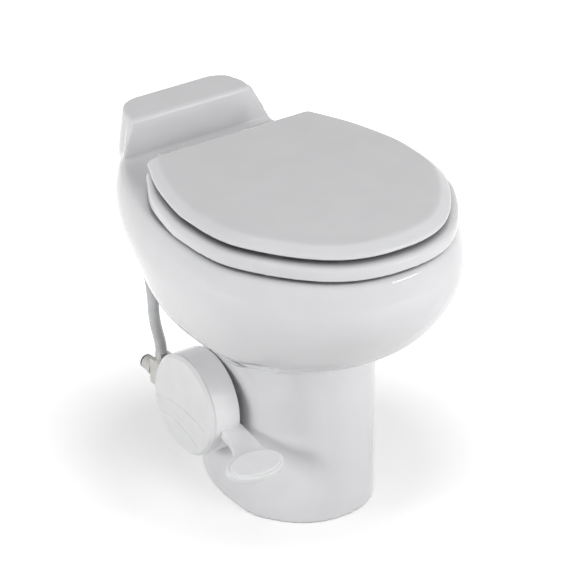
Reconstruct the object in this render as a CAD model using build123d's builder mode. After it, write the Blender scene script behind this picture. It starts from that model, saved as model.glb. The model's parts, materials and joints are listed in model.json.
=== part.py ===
from build123d import *
import math
import os

# RV toilet: a china body with a seat and lid, a flush ball turned by a foot pedal, and its water supply.
# Millimetres, +Z up. The front faces -Y and the flush hub is on the -X side.
# The origin is on the floor, midway between the front of the rim and the back of the body.

# General clearances and overruns
overrun = 40.0
seat_gap = 0.2
face_gap = 0.1
running_gap = 0.05
quarter_turn = 90.0
full_turn = 360.0
hex_sides = 6
soft_gap = 0.3

# China body: overall sizes
belly_half_width = 204.0
body_front = -281.0
body_back = 300.0
widest_y = -40.0
bowl_bottom = 222.0
loft_top = 500.0
rim_top = 432.0
china_wall = 11.0

# Share of the loft height, then of the half-width, front, back and widest line at that height
body_section_shares = [
    (0.0, 0.441, 0.335, 0.352, 0.25),
    (0.083, 0.627, 0.537, 0.461, 0.35),
    (0.191, 0.794, 0.740, 0.572, 0.55),
    (0.317, 0.914, 0.868, 0.711, 0.80),
    (0.460, 0.971, 0.968, 0.868, 1.0),
    (0.604, 0.995, 1.0, 0.985, 1.0),
    (0.694, 0.971, 0.979, 1.0, 1.0),
    (0.784, 0.900, 0.936, 0.955, 1.0),
    (1.0, 0.795, 0.854, 0.93, 1.0),
]
# Plan outline: points between front, widest line and back, as shares of the half-width and of each run
front_outline_shares = [(0.517, 0.872), (0.872, 0.517)]
back_outline_shares = [(0.874, 0.5), (0.719, 0.70), (0.546, 0.84), (0.351, 0.955)]
hump_outline_shares = [(0.86, 0.5), (0.69, 0.72), (0.58, 0.85), (0.42, 0.96)]
hump_from_share = 0.75
hole_outline_shares = [(0.874, 0.5), (0.664, 0.75), (0.40, 0.93)]

# Raised back
hump_foot_y = 212.0
hump_lean = 12.5
hump_front_top = 486.0
hump_back_top = 494.0
shoulder_radius = 10.0

# Pedestal
foot_half_width = 103.0
foot_front = -139.7
foot_back = 152.0
foot_widest_y = -30.0
pedestal_top = 250.0
# Share of the pedestal height, then of the foot's half-width, front, back, and of the widest line's shift
pedestal_section_shares = [
    (0.0, 1.0, 1.0, 1.0, 1.0, 0.0),
    (0.10, 0.965, 1.0, 0.998, 0.99, 0.1),
    (0.30, 0.83, 1.005, 0.995, 0.96, 0.6),
    (0.52, 0.77, 1.01, 0.991, 0.94, 1.0),
    (0.76, 0.83, 1.02, 0.988, 0.93, 1.0),
    (1.0, 1.01, 1.03, 0.988, 0.93, 1.0),
]
hub_side_shift = 75.0
pedestal_ceiling = 216.0
service_arch_width = 104.0
service_arch_height = 176.0
service_arch_radius = 30.0

# Bowl inside
opening_half_width = 116.0
opening_front = -206.0
opening_back = 92.0
opening_widest_y = -45.0
rim_thickness = 14.0
rim_lip_depth = 20.0
rim_lip_wall = 9.0
opening_edge_radius = 5.0
basin_top = rim_top - rim_thickness
basin_bottom = 232.0
basin_half_width = 187.0
basin_front = -264.0
basin_back = 136.0
# Share of the basin height, then of its half-width, front, back and widest line
basin_section_shares = [
    (0.0, 0.22, 0.02, 0.68, 0.0),
    (0.14, 0.56, 0.42, 0.82, 0.3),
    (0.34, 0.80, 0.74, 0.92, 0.7),
    (0.60, 0.94, 0.93, 0.98, 1.0),
    (0.82, 1.0, 1.0, 1.0, 1.0),
    (1.0, 0.97, 0.985, 1.0, 1.0),
]
throat_radius = 34.0

# Rear cavity under the raised back
cavity_front_low_y = 124.0
cavity_front_high_y = 155.0
cavity_low_z = 206.0
cavity_high_z = 420.0
nut_recess_half_width = 96.0
nut_recess_low_z = 350.0
nut_recess_back_y = 198.0
hump_hollow_half_width = 72.0
hump_hollow_back_y = 258.0
hump_hollow_top = 474.0
window_half_width = 76.0
window_high_z = 446.0
hinge_hole_gap = 1.0

# Seat and lid
lid_half_width = 184.0
lid_front = -262.5
lid_back = 138.0
lid_widest_y = -36.0
lid_low = 460.0
lid_top = 480.0
lid_bevel_drop = 11.0
lid_bevel_run = 15.0
lid_corner_radius = 18.0
lid_crest_radius = 3.0
seat_low = 435.0
seat_top = 457.0
seat_overhang = 10.0
seat_back = 137.0
seat_edge_radius = 7.0
seat_foot_radius = 3.0
seat_hole_half_width = 108.0
seat_hole_front = -196.0
seat_hole_back = 84.0
seat_hole_edge_radius = 8.0
# Points between the widest line and the back corner, as shares of the half-width and of the back run
lid_back_shares = [(0.961, 0.299), (0.874, 0.632)]
lid_corner_share = 0.725
seat_back_corner_share = 0.70

# Bumpers under the seat and the lid
bumper_length = 24.0
bumper_width = 10.0
bumper_side_x = 138.0
bumper_front_y = -172.0
bumper_back_y = 60.0
bumper_back_x = 146.0
lid_bumper_side_x = 128.0
lid_bumper_front_y = -165.0

# Seat hinge
hinge_y = 168.0
hinge_z = 446.0
hinge_spacing = 140.0
knuckle_radius = 8.5
post_width = 14.0
knuckle_width = 12.0
pin_radius = 3.5
pin_overhang = 1.5
knuckle_gap = 0.5
post_base_length = 28.0
post_base_height = 4.0
leaf_thickness = 3.5
leaf_reach = 33.0
leaf_heel = 8.0
leaf_screw_radius = 1.9
leaf_screw_head_radius = 3.8
leaf_screw_head_height = 1.8
leaf_screw_depth = 9.0
leaf_screw_pitch = 14.0
leaf_screw_inset = 7.0
lid_leaf_crank_y = 150.0
lid_leaf_inner_y = 141.0
hinge_bolt_radius = 4.0
hinge_bolt_top = 438.0
hinge_bolt_length = 44.0
hinge_washer_radius = 13.0
hinge_washer_height = 4.0
wing_nut_radius = 8.0
wing_nut_height = 9.0
wing_span = 34.0
wing_thickness = 3.0

# Outlet and flush ball
outlet_y = 51.0
hub_y = 51.0
hub_z = 130.0
gear_module = 1.5
pinion_teeth = 15
ring_teeth = 54
pedal_travel = 26.0
pinion_pitch_radius = gear_module * pinion_teeth / 2
ring_pitch_radius = gear_module * ring_teeth / 2
ball_z = hub_z + ring_pitch_radius - pinion_pitch_radius
ball_radius = 50.0
ball_wall = 4.5
ball_half_angle = 50.0
trunnion_radius = 10.0
trunnion_length = 8.0
neck_radius = 38.0
neck_wall = 5.0
chamber_gap = 3.5
chamber_wall = 4.5
chamber_top = 196.0
chamber_flange_radius = 62.0
chamber_flange_height = 7.0
base_plate_half_x = 50.0
base_plate_half_y = 88.0
base_plate_low = 8.0
base_plate_height = 8.0
base_plate_corner = 20.0
bolt_spacing = 152.0
bolt_slot_length = 18.0
bolt_slot_width = 9.0
base_rib_thickness = 5.0
base_rib_height = 46.0
base_rib_reach = 60.0
base_rib_angles = [50.0, 130.0, 230.0, 310.0]
right_boss_radius = 17.0
right_boss_end = 61.0
left_pad_radius = 29.0
left_pad_end = -61.0
gasket_radius = 50.0
seal_outer_radius = 59.0
seal_inner_radius = 32.0
seal_height = 10.0
bowl_flange_radius = 61.0
bowl_flange_height = 5.0
bowl_flange_neck_radius = 55.0
clamp_outer_radius = 65.0
clamp_wall = 2.5
clamp_lip_radius = 59.5
clamp_low = 186.0
clamp_high = 214.0
clamp_lip = 2.7
clamp_slot = 14.0
clamp_lug_length = 13.0
clamp_lug_thickness = 4.0
clamp_screw_radius = 2.5
clamp_screw_head_radius = 5.0
clamp_screw_head_height = 3.5

# Ball shaft, bushings and gear
shaft_radius = 6.0
shaft_square = 8.2
shaft_flat = 4.6
shaft_flat_start = -94.0
shaft_end = -109.0
shaft_square_end = 46.5
shaft_step = 53.0
shaft_bore_gap = 0.5
bushing_radius = 10.5
bushing_inner_end = 54.0
bushing_flange_radius = 13.0
bushing_flange_height = 1.6
stub_head_radius = 9.0
stub_head_height = 2.4
oring_wire = 1.2
oring_place = 57.5
tooth_addendum = 1.2
tooth_dedendum = 1.6
tooth_half_thickness = 0.95
tooth_angle = 20.0
pinion_width = 13.0
pinion_start = -108.0
key_height = 2.0
ring_inner = -94.0
ring_wall = 4.0
tooth_root_overlap = 1.0
ring_tooth_first = -7
ring_tooth_count = 10

# Drive plate on the left of the pedestal
plate_radius = 29.0
plate_centre_z = 145.0
plate_hole_gap = 3.0
plate_outer = -84.5
valve_arm_thickness = 4.0
valve_arm_low_z = 112.0
valve_arm_high_z = 148.0
valve_arm_start_y = 32.0
valve_arm_end_y = 168.0
journal_radius = 10.0
journal_end = -126.4
plate_screw_radius = 2.2
plate_screw_head_radius = 4.0
plate_screw_head_height = 2.6
plate_screw_depth = 8.0
plate_screw_circle = 24.0
plate_screw_angles = [20.0, 160.0, 200.0, 340.0]

# Pedal: drum, arm and pad
drum_radius = 73.0
drum_inner = -90.0
drum_outer = -130.0
drum_wall = 4.0
drum_edge_radius = 1.5
web_outer = -126.0
web_thickness = 4.0
hub_boss_radius = 14.5
hub_boss_inner = -89.2
drum_rib_count = 6
drum_rib_thickness = 3.0
drum_rib_depth = 14.0
spring_peg_radius = 3.0
spring_peg_length = 5.0
spring_peg_place = 28.0
cam_width = 11.0
cam_lift = 4.0
cam_dwell_angle = 10.0
cam_fall_angle = 10.0
cam_steps = 6
arm_root_y = -6.0
arm_root_top_z = 121.0
arm_middle_y = -58.0
arm_middle_top_z = 116.5
arm_tip_y = -98.0
arm_tip_top_z = 118.0
arm_depth = 13.0
arm_inner_x = -86.5
arm_outer_x = -121.0
arm_middle_inner_x = -90.0
arm_middle_outer_x = -128.0
arm_tip_inner_x = -99.0
arm_tip_outer_x = -155.0
arm_edge_radius = 2.0
pad_x = -127.5
pad_y = -113.5
pad_z = 115.0
pad_half_x = 44.0
pad_half_y = 25.5
pad_thickness = 11.0
pad_tilt = 16.0
pad_edge_radius = 3.0
insert_margin = 4.5
insert_height = 4.2
insert_recess = 2.0
insert_edge_radius = 1.8

# Hub cover
cover_radius = 73.0
cover_gap = 0.6
cover_outer = -136.0
cover_bevel = 4.5
cover_plate = 3.0
cover_groove_width = 1.0
cover_groove_depth = 0.6
cover_spigot_wall = 2.0
cover_spigot_length = 3.4
# Middle lines of the two styling grooves, as shares of the cover radius from its centre (Y, Z)
upper_groove_shares = [(0.91, -0.187), (0.44, -0.08), (-0.72, -0.23)]
lower_groove_shares = [(0.81, -0.449), (0.27, -0.44), (-0.47, -0.67)]

# Pedal fastening and return spring
pedal_screw_radius = 2.5
pedal_screw_head_radius = 5.5
pedal_screw_head_height = 2.6
pedal_screw_depth = 22.0
pedal_washer_radius = 13.0
pedal_washer_thickness = 1.2
spring_wire = 2.4
spring_radius = 19.0
spring_pitch = 3.0
spring_turns = 2.75
spring_start = -111.6
spring_anchor_depth = 3.0
spring_leg_length = 12.0

# Water valve behind the hub
valve_front_y = 131.0
valve_back_y = 163.0
valve_width = 28.0
valve_low_z = 110.0
valve_high_z = 148.0
valve_edge_radius = 3.0
plunger_x = -95.5
plunger_radius = 4.0
plunger_stroke = 4.0
plunger_depth = 15.0
plunger_tip_radius = 3.6
barb_x = -107.0
barb_y = 147.0
barb_top = 163.0
barb_radius = 5.2
barb_bore = 3.5
barb_ridge = 0.8
barb_ridge_pitch = 5.0
barb_ridge_count = 2
barb_base_radius = 9.0
barb_base_height = 3.0
inlet_z = 129.0
inlet_radius = 10.4
inlet_bore = 6.5
inlet_bore_end_y = 144.0
inlet_collar_radius = 12.0
inlet_collar_length = 5.0
inlet_length = 16.0
inlet_washer_thickness = 3.0
valve_screw_radius = 2.0
valve_screw_head_radius = 4.0
valve_screw_head_height = 2.2
valve_screw_y = 153.0
valve_screw_spacing = 26.0
valve_screw_depth = 8.0

# Hose, clamps and vacuum breaker
hose_radius = 8.0
hose_bore = 6.1
clamp_band_width = 7.0
clamp_band_thickness = 0.9
clamp_tab = 4.0
breaker_x = -36.0
breaker_y = 226.0
breaker_radius = 15.0
breaker_wall = 3.0
breaker_low = 366.0
breaker_high = 400.0
breaker_barb_low = 346.0
breaker_cap_height = 7.0
breaker_cap_radius = 17.5
breaker_cap_spigot = 8.5
breaker_vent_radius = 1.5
breaker_vent_circle = 5.5
breaker_vent_count = 6
float_radius = 10.0
float_height = 6.0
float_travel = 4.0
nozzle_z = 389.0
nozzle_radius = 7.0
nozzle_bore = 4.5
nozzle_front_y = 120.0
nozzle_lip_thickness = 1.5
nozzle_mouth_length = 6.0
grommet_radius = 13.0
grommet_lip = 3.0
grommet_front_y = 139.0
grommet_back_y = 152.6
breaker_floor = 3.0
breaker_socket_radius = 10.0
breaker_socket_end_y = 203.0
# Hose route from the valve barb to the vacuum breaker, chosen by hand
hose_route = [
    (barb_x, barb_y, valve_high_z + barb_base_height + seat_gap),
    (barb_x, barb_y, 172.0),
    (-131.0, 128.0, 228.0),
    (-134.0, 125.0, 272.0),
    (-112.0, 176.0, 306.0),
    (-64.0, 222.0, 304.0),
    (breaker_x, breaker_y, 322.0),
    (breaker_x, breaker_y, breaker_low - seat_gap),
]
hose_bend_radii = [28.0, 60.0, 30.0, 30.0, 24.0, 16.0]


def side_plane(x):
    """Plane at X = x whose sketch axes are Y and Z."""
    return Plane(origin=(x, 0, 0), x_dir=(0, 1, 0), z_dir=(1, 0, 0))


def write(builder, name):
    """Label a finished piece and write it to its own file, with the outlet axis at the origin."""
    placed = builder.part.moved(Location((0, -outlet_y, 0)))
    placed.label = name
    export_step(placed, f"parts/{name}.step")


def plan_outline(half_width, front, back, widest, shares=back_outline_shares, hub_side=None):
    """Closed plan shape, full in front; hub_side gives another reach and widest line on the left."""
    with BuildSketch() as outline:
        with BuildLine():
            for side, (reach, wide_y) in ((1, (half_width, widest)), (-1, hub_side or (half_width, widest))):
                wide = side * reach
                front_run = front - wide_y
                back_run = back - wide_y
                front_points = [(wide * a, wide_y + front_run * b) for a, b in front_outline_shares]
                back_points = [(wide * a, wide_y + back_run * b) for a, b in shares]
                Spline((0, front), *front_points, (wide, wide_y), tangents=[(side, 0), (0, 1)])
                Spline((wide, wide_y), *back_points, (0, back), tangents=[(0, 1), (-side, 0)])
        make_face()
    return outline.sketch


def lid_outline(half_width, front, back, corner_share, corner_radius):
    """Plan shape of the seat or lid: a full front, sides that draw in, and a straight back edge."""
    front_run = front - lid_widest_y
    back_run = back - lid_widest_y
    front_points = [(half_width * a, lid_widest_y + front_run * b) for a, b in front_outline_shares]
    side_points = [(half_width * a, lid_widest_y + back_run * b) for a, b in lid_back_shares]
    corner = (half_width * corner_share, back)
    with BuildSketch() as outline:
        with BuildLine():
            Spline((0, front), *front_points, (half_width, lid_widest_y), tangents=[(1, 0), (0, 1)])
            Spline((half_width, lid_widest_y), *side_points, corner, tangents=[(0, 1), (-0.4, 1)])
            Line(corner, (0, back))
            mirror(about=Plane.YZ)
        make_face()
        corners = outline.vertices().group_by(Axis.Y)[-1].filter_by(lambda v: abs(v.X) > corner_radius)
        fillet(corners, corner_radius)
    return outline.sketch


def body_loft(inset):
    """Outer form of bowl and raised back, or its inside when inset by a wall."""
    with BuildPart() as form:
        for height, wide, front, back, shift in body_section_shares:
            with BuildSketch(Plane.XY.offset(bowl_bottom + height * (loft_top - bowl_bottom))):
                add(
                    plan_outline(
                        wide * belly_half_width - inset,
                        front * body_front + inset,
                        back * body_back - inset,
                        shift * widest_y,
                        hump_outline_shares if height > hump_from_share else back_outline_shares,
                    )
                )
        loft()
    return form.part


def pedestal_loft(inset):
    """Pedestal, drawn in on the hub side and upright on the other, or its inside when inset by a wall."""
    with BuildPart() as form:
        for height, hub_side, plain_side, front, back, shift in pedestal_section_shares:
            with BuildSketch(Plane.XY.offset(height * pedestal_top)):
                add(
                    plan_outline(
                        plain_side * foot_half_width - inset,
                        front * foot_front + inset,
                        back * foot_back - inset,
                        foot_widest_y,
                        back_outline_shares,
                        (hub_side * foot_half_width - inset, foot_widest_y + shift * hub_side_shift),
                    )
                )
        loft()
    return form.part


def basin_loft():
    """Inside of the bowl below the rim."""
    with BuildPart() as form:
        for height, wide, front, back, shift in basin_section_shares:
            with BuildSketch(Plane.XY.offset(basin_bottom + height * (basin_top - basin_bottom))):
                add(
                    plan_outline(
                        wide * basin_half_width,
                        front * basin_front,
                        back * basin_back,
                        outlet_y + shift * (widest_y - outlet_y),
                    )
                )
        loft()
    return form.part


def opening_outline(grow):
    """Outline of the rim opening, grown outwards by the given distance."""
    half_width = opening_half_width + grow
    return plan_outline(half_width, opening_front - grow, opening_back + grow, opening_widest_y)


# China body
hump_face_top_y = hump_foot_y + (loft_top + overrun - rim_top) * math.tan(math.radians(hump_lean))
with BuildPart() as above_deck:
    with BuildSketch(side_plane(-belly_half_width - overrun)):
        with BuildLine():
            Polyline(
                (body_front - overrun, rim_top),
                (hump_foot_y, rim_top),
                (hump_face_top_y, loft_top + overrun),
                (body_front - overrun, loft_top + overrun),
                close=True,
            )
        make_face()
    extrude(amount=2 * (belly_half_width + overrun))

bowl_flange_low = chamber_top + seal_height
hump_slope = (hump_back_top - hump_front_top) / (body_back - hump_foot_y)
with BuildPart() as above_hump:
    with BuildSketch(side_plane(-belly_half_width - overrun)):
        with BuildLine():
            Polyline(
                (hump_foot_y - overrun, hump_front_top - overrun * hump_slope),
                (body_back + overrun, hump_back_top + overrun * hump_slope),
                (body_back + overrun, loft_top + overrun),
                (hump_foot_y - overrun, loft_top + overrun),
                close=True,
            )
        make_face()
    extrude(amount=2 * (belly_half_width + overrun))

# Space under the raised back, inside the skin
cavity_face_y = hump_foot_y + china_wall
cavity_slope = (cavity_front_high_y - cavity_front_low_y) / (cavity_high_z - cavity_low_z)
hump_hollow_lean = (hump_hollow_top - cavity_high_z) * math.tan(math.radians(hump_lean))
with BuildPart() as rear_cavity:
    # Open back through which the hose and the hinge nuts are reached
    with BuildSketch(side_plane(-window_half_width)):
        with BuildLine():
            Polyline(
                (cavity_front_low_y, cavity_low_z),
                (cavity_front_high_y, cavity_high_z),
                (cavity_face_y, cavity_high_z),
                (cavity_face_y, window_high_z),
                (body_back + overrun, window_high_z),
                (body_back + overrun, cavity_low_z),
                close=True,
            )
        make_face()
    extrude(amount=2 * window_half_width)
    # Room for fingers round the two hinge nuts
    with BuildSketch(side_plane(-nut_recess_half_width)):
        with BuildLine():
            Polyline(
                (cavity_front_low_y + cavity_slope * (nut_recess_low_z - cavity_low_z), nut_recess_low_z),
                (cavity_front_high_y, cavity_high_z),
                (nut_recess_back_y, cavity_high_z),
                (nut_recess_back_y, nut_recess_low_z),
                close=True,
            )
        make_face()
    extrude(amount=2 * nut_recess_half_width)
    # Hollow of the raised back
    with BuildSketch(side_plane(-hump_hollow_half_width)):
        with BuildLine():
            Polyline(
                (cavity_face_y, cavity_high_z),
                (cavity_face_y + hump_hollow_lean, hump_hollow_top),
                (hump_hollow_back_y, hump_hollow_top),
                (hump_hollow_back_y, cavity_high_z),
                close=True,
            )
        make_face()
    extrude(amount=2 * hump_hollow_half_width)

# Hollow of the pedestal, open to the floor
with BuildPart() as pedestal_hollow:
    add(pedestal_loft(china_wall))
    with BuildSketch(Plane.XY.offset(pedestal_ceiling)):
        Rectangle(2 * (foot_half_width + overrun), 2 * (foot_back + overrun))
    extrude(amount=overrun, mode=Mode.SUBTRACT)

with BuildPart() as china_body:
    add(body_loft(0))
    add(above_deck.part, mode=Mode.SUBTRACT)
    add(above_hump.part, mode=Mode.SUBTRACT)
    fillet(china_body.edges().filter_by(lambda e: e.center().Z > rim_top - face_gap), shoulder_radius)
    add(pedestal_loft(0))
    add(basin_loft(), mode=Mode.SUBTRACT)
    # Rim opening and the lip that hangs below it
    with BuildSketch(Plane.XY.offset(basin_top)):
        add(opening_outline(0))
    extrude(amount=rim_thickness + overrun, mode=Mode.SUBTRACT)
    rim_mouth = china_body.edges().filter_by(Plane.XY).filter_by(
        lambda e: abs(e.center().Z - rim_top) < face_gap and e.center().Y < opening_back
    )
    fillet(rim_mouth, opening_edge_radius)
    with BuildSketch(Plane.XY.offset(basin_top - rim_lip_depth)):
        add(opening_outline(rim_lip_wall))
        add(opening_outline(0), mode=Mode.SUBTRACT)
    extrude(amount=rim_lip_depth)
    # Pedestal hollow, outlet flange and throat
    add(pedestal_hollow.part, mode=Mode.SUBTRACT)
    with BuildSketch(Plane.XY.offset(bowl_flange_low)):
        with Locations((0, outlet_y)):
            Circle(bowl_flange_neck_radius)
    extrude(amount=pedestal_ceiling - bowl_flange_low)
    with BuildSketch(Plane.XY.offset(bowl_flange_low)):
        with Locations((0, outlet_y)):
            Circle(bowl_flange_radius)
    extrude(amount=bowl_flange_height)
    with BuildSketch(Plane.XY.offset(chamber_top)):
        with Locations((0, outlet_y)):
            Circle(throat_radius)
    extrude(amount=basin_bottom - chamber_top + overrun, mode=Mode.SUBTRACT)
    # Service arch at the foot of the back
    with BuildSketch(Plane.XZ.offset(-foot_back - overrun)):
        with Locations((0, service_arch_height / 2 - overrun / 2)):
            RectangleRounded(service_arch_width, service_arch_height + overrun, service_arch_radius)
    extrude(amount=overrun + foot_back - outlet_y - bowl_flange_radius / 2, mode=Mode.SUBTRACT)
    # Round hole on the left for the drive
    with BuildSketch(side_plane(-foot_half_width - overrun)):
        with Locations((hub_y, plate_centre_z)):
            Circle(plate_radius + plate_hole_gap)
    extrude(amount=foot_half_width + overrun + left_pad_end + china_wall, mode=Mode.SUBTRACT)
    # Nozzle hole, hinge bolt holes, and the open space under the raised back
    with BuildSketch(Plane.XZ.offset(-cavity_face_y)):
        with Locations((breaker_x, nozzle_z)):
            Circle(grommet_radius - grommet_lip)
    extrude(amount=cavity_face_y - nozzle_front_y, mode=Mode.SUBTRACT)
    with BuildSketch(Plane.XY.offset(cavity_high_z - overrun)):
        with Locations((-hinge_spacing / 2, hinge_y), (hinge_spacing / 2, hinge_y)):
            Circle(hinge_bolt_radius + hinge_hole_gap)
    extrude(amount=rim_top - cavity_high_z + 2 * overrun, mode=Mode.SUBTRACT)
    add(rear_cavity.part, mode=Mode.SUBTRACT)
write(china_body, "china_body")


# Seat and lid
seat_half_width = lid_half_width + seat_overhang
seat_front = lid_front - seat_overhang
knuckle_step = post_width / 2 + knuckle_gap + knuckle_width / 2
seat_leaf_places = [side * (hinge_spacing / 2 + knuckle_step) for side in (-1, 1)]
lid_leaf_places = [side * (hinge_spacing / 2 - knuckle_step) for side in (-1, 1)]
leaf_front_y = lid_back - leaf_reach
leaf_screw_places = [leaf_front_y + leaf_screw_inset, leaf_front_y + leaf_screw_inset + leaf_screw_pitch]


def leaf_pocket(low):
    """Room for the two hinge leaves of one panel, open at its underside and its back edge."""
    places = seat_leaf_places if low == seat_low else lid_leaf_places
    length = hinge_y - leaf_front_y + face_gap
    with BuildPart() as pocket:
        with BuildSketch(Plane.XY.offset(low - overrun)):
            with Locations(*[(x, hinge_y - length / 2) for x in places]):
                Rectangle(knuckle_width + 2 * face_gap, length)
        extrude(amount=overrun + leaf_thickness + face_gap)
        with BuildSketch(Plane.XY.offset(low)):
            with Locations(*[(x, y) for x in places for y in leaf_screw_places]):
                Circle(leaf_screw_radius + running_gap)
        extrude(amount=leaf_screw_depth + face_gap)
    return pocket.part


with BuildPart() as seat_ring:
    with BuildSketch(Plane.XY.offset(seat_low)):
        add(lid_outline(seat_half_width, seat_front, seat_back, seat_back_corner_share, lid_corner_radius))
    extrude(amount=seat_top - seat_low)
    fillet(seat_ring.edges().group_by(Axis.Z)[-1], seat_edge_radius)
    fillet(seat_ring.edges().group_by(Axis.Z)[0], seat_foot_radius)
    with BuildSketch(Plane.XY.offset(seat_low - overrun)):
        add(
            plan_outline(
                seat_hole_half_width,
                seat_hole_front,
                seat_hole_back,
                opening_widest_y,
                hole_outline_shares,
            )
        )
    extrude(amount=seat_top - seat_low + 2 * overrun, mode=Mode.SUBTRACT)
    fillet(seat_ring.faces().sort_by(Axis.Z)[-1].inner_wires()[0].edges(), seat_hole_edge_radius)
    add(leaf_pocket(seat_low), mode=Mode.SUBTRACT)
write(seat_ring, "seat_ring")

with BuildPart() as seat_lid:
    with BuildSketch(Plane.XY.offset(lid_low)):
        add(lid_outline(lid_half_width, lid_front, lid_back, lid_corner_share, lid_corner_radius))
    extrude(amount=lid_top - lid_low)
    chamfer(seat_lid.edges().group_by(Axis.Z)[-1], lid_bevel_drop, lid_bevel_run)
    fillet(seat_lid.edges().group_by(Axis.Z)[-1], lid_crest_radius)
    add(leaf_pocket(lid_low), mode=Mode.SUBTRACT)
write(seat_lid, "seat_lid")


def bumpers(places, low, height):
    """Soft rounded pads, one at each place, each with its own turn in plan."""
    with BuildPart() as pads:
        for x, y, turn in places:
            with BuildSketch(Plane(origin=(x, y, low)).rotated((0, 0, turn))):
                SlotOverall(bumper_length, bumper_width)
            extrude(amount=height)
    return pads


seat_bumper_places = [
    (-bumper_side_x, bumper_front_y, -45),
    (bumper_side_x, bumper_front_y, 45),
    (-bumper_back_x, bumper_back_y, 80),
    (bumper_back_x, bumper_back_y, -80),
]
lid_bumper_places = [
    (-lid_bumper_side_x, lid_bumper_front_y, -45),
    (lid_bumper_side_x, lid_bumper_front_y, 45),
    (-lid_bumper_side_x, bumper_back_y, 80),
    (lid_bumper_side_x, bumper_back_y, -80),
]
seat_bumpers = bumpers(seat_bumper_places, rim_top + seat_gap, seat_low - rim_top - seat_gap)
write(seat_bumpers, "seat_bumpers")
lid_bumpers = bumpers(lid_bumper_places, seat_top + seat_gap, lid_low - seat_top - seat_gap)
write(lid_bumpers, "lid_bumpers")

# Seat hinge: two posts on the deck, each with a seat knuckle outside it and a lid knuckle inside it
with BuildPart() as hinge_posts:
    for side in (-1, 1):
        with BuildSketch(side_plane(side * hinge_spacing / 2 - post_width / 2)):
            with Locations((hinge_y, rim_top + post_base_height / 2)):
                Rectangle(post_base_length, post_base_height)
            with Locations((hinge_y, (rim_top + hinge_z) / 2)):
                Rectangle(2 * knuckle_radius, hinge_z - rim_top)
            with Locations((hinge_y, hinge_z)):
                Circle(knuckle_radius)
                Circle(pin_radius, mode=Mode.SUBTRACT)
        extrude(amount=post_width)
    with BuildSketch(Plane.XY.offset(rim_top)):
        with Locations((-hinge_spacing / 2, hinge_y), (hinge_spacing / 2, hinge_y)):
            Circle(hinge_bolt_radius + running_gap)
    extrude(amount=hinge_bolt_top - rim_top, mode=Mode.SUBTRACT)
write(hinge_posts, "hinge_posts")

pin_half = post_width / 2 + knuckle_gap + knuckle_width + pin_overhang
with BuildPart() as hinge_pins:
    for side in (-1, 1):
        with BuildSketch(side_plane(side * hinge_spacing / 2 - pin_half)):
            with Locations((hinge_y, hinge_z)):
                Circle(pin_radius)
        extrude(amount=2 * pin_half)
write(hinge_pins, "hinge_pins")


def hinge_leaves(places, low, profile):
    """Two leaves let into the underside of a panel, each ending in a knuckle on the hinge axis."""
    with BuildPart() as leaves:
        for x in places:
            with BuildSketch(side_plane(x - knuckle_width / 2)):
                with BuildLine():
                    Polyline(*profile, close=True)
                make_face()
                with Locations((hinge_y, hinge_z)):
                    Circle(knuckle_radius)
                    Circle(pin_radius + running_gap, mode=Mode.SUBTRACT)
            extrude(amount=knuckle_width)
        with BuildSketch(Plane.XY.offset(low)):
            with Locations(*[(x, y) for x in places for y in leaf_screw_places]):
                Circle(leaf_screw_radius + running_gap)
        extrude(amount=leaf_thickness, mode=Mode.SUBTRACT)
        with BuildSketch(Plane.XY.offset(low)):
            with Locations(*[(x, y) for x in places for y in leaf_screw_places]):
                Circle(leaf_screw_head_radius + running_gap)
        extrude(amount=leaf_screw_head_height, mode=Mode.SUBTRACT)
    return leaves


seat_leaf_profile = [
    (leaf_front_y, seat_low),
    (hinge_y - pin_radius, seat_low),
    (hinge_y - pin_radius, hinge_z - knuckle_radius / 2),
    (hinge_y - leaf_heel, hinge_z - knuckle_radius / 2),
    (hinge_y - leaf_heel - leaf_thickness, seat_low + leaf_thickness),
    (leaf_front_y, seat_low + leaf_thickness),
]
lid_leaf_profile = [
    (leaf_front_y, lid_low),
    (lid_leaf_inner_y, lid_low),
    (hinge_y - knuckle_radius, hinge_z - pin_radius),
    (hinge_y - pin_radius, hinge_z - pin_radius - face_gap),
    (hinge_y - pin_radius - face_gap, hinge_z + pin_radius + running_gap),
    (hinge_y, hinge_z + knuckle_radius),
    (lid_leaf_crank_y, lid_low + leaf_thickness),
    (leaf_front_y, lid_low + leaf_thickness),
]
seat_hinge_leaves = hinge_leaves(seat_leaf_places, seat_low, seat_leaf_profile)
write(seat_hinge_leaves, "seat_hinge_leaves")
lid_hinge_leaves = hinge_leaves(lid_leaf_places, lid_low, lid_leaf_profile)
write(lid_hinge_leaves, "lid_hinge_leaves")


def leaf_screws(places, low):
    """Screws driven up through the leaves, heads let in flush."""
    spots = [(x, y) for x in places for y in leaf_screw_places]
    with BuildPart() as screws:
        with BuildSketch(Plane.XY.offset(low)):
            with Locations(*spots):
                Circle(leaf_screw_head_radius)
        extrude(amount=leaf_screw_head_height)
        with BuildSketch(Plane.XY.offset(low)):
            with Locations(*spots):
                Circle(leaf_screw_radius)
        extrude(amount=leaf_screw_depth)
    return screws


seat_leaf_screws = leaf_screws(seat_leaf_places, seat_low)
write(seat_leaf_screws, "seat_leaf_screws")
lid_leaf_screws = leaf_screws(lid_leaf_places, lid_low)
write(lid_leaf_screws, "lid_leaf_screws")

with BuildPart() as hinge_bolts:
    with BuildSketch(Plane.XY.offset(hinge_bolt_top - face_gap)):
        with Locations((-hinge_spacing / 2, hinge_y), (hinge_spacing / 2, hinge_y)):
            Circle(hinge_bolt_radius)
    extrude(amount=-hinge_bolt_length)
write(hinge_bolts, "hinge_bolts")

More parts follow.
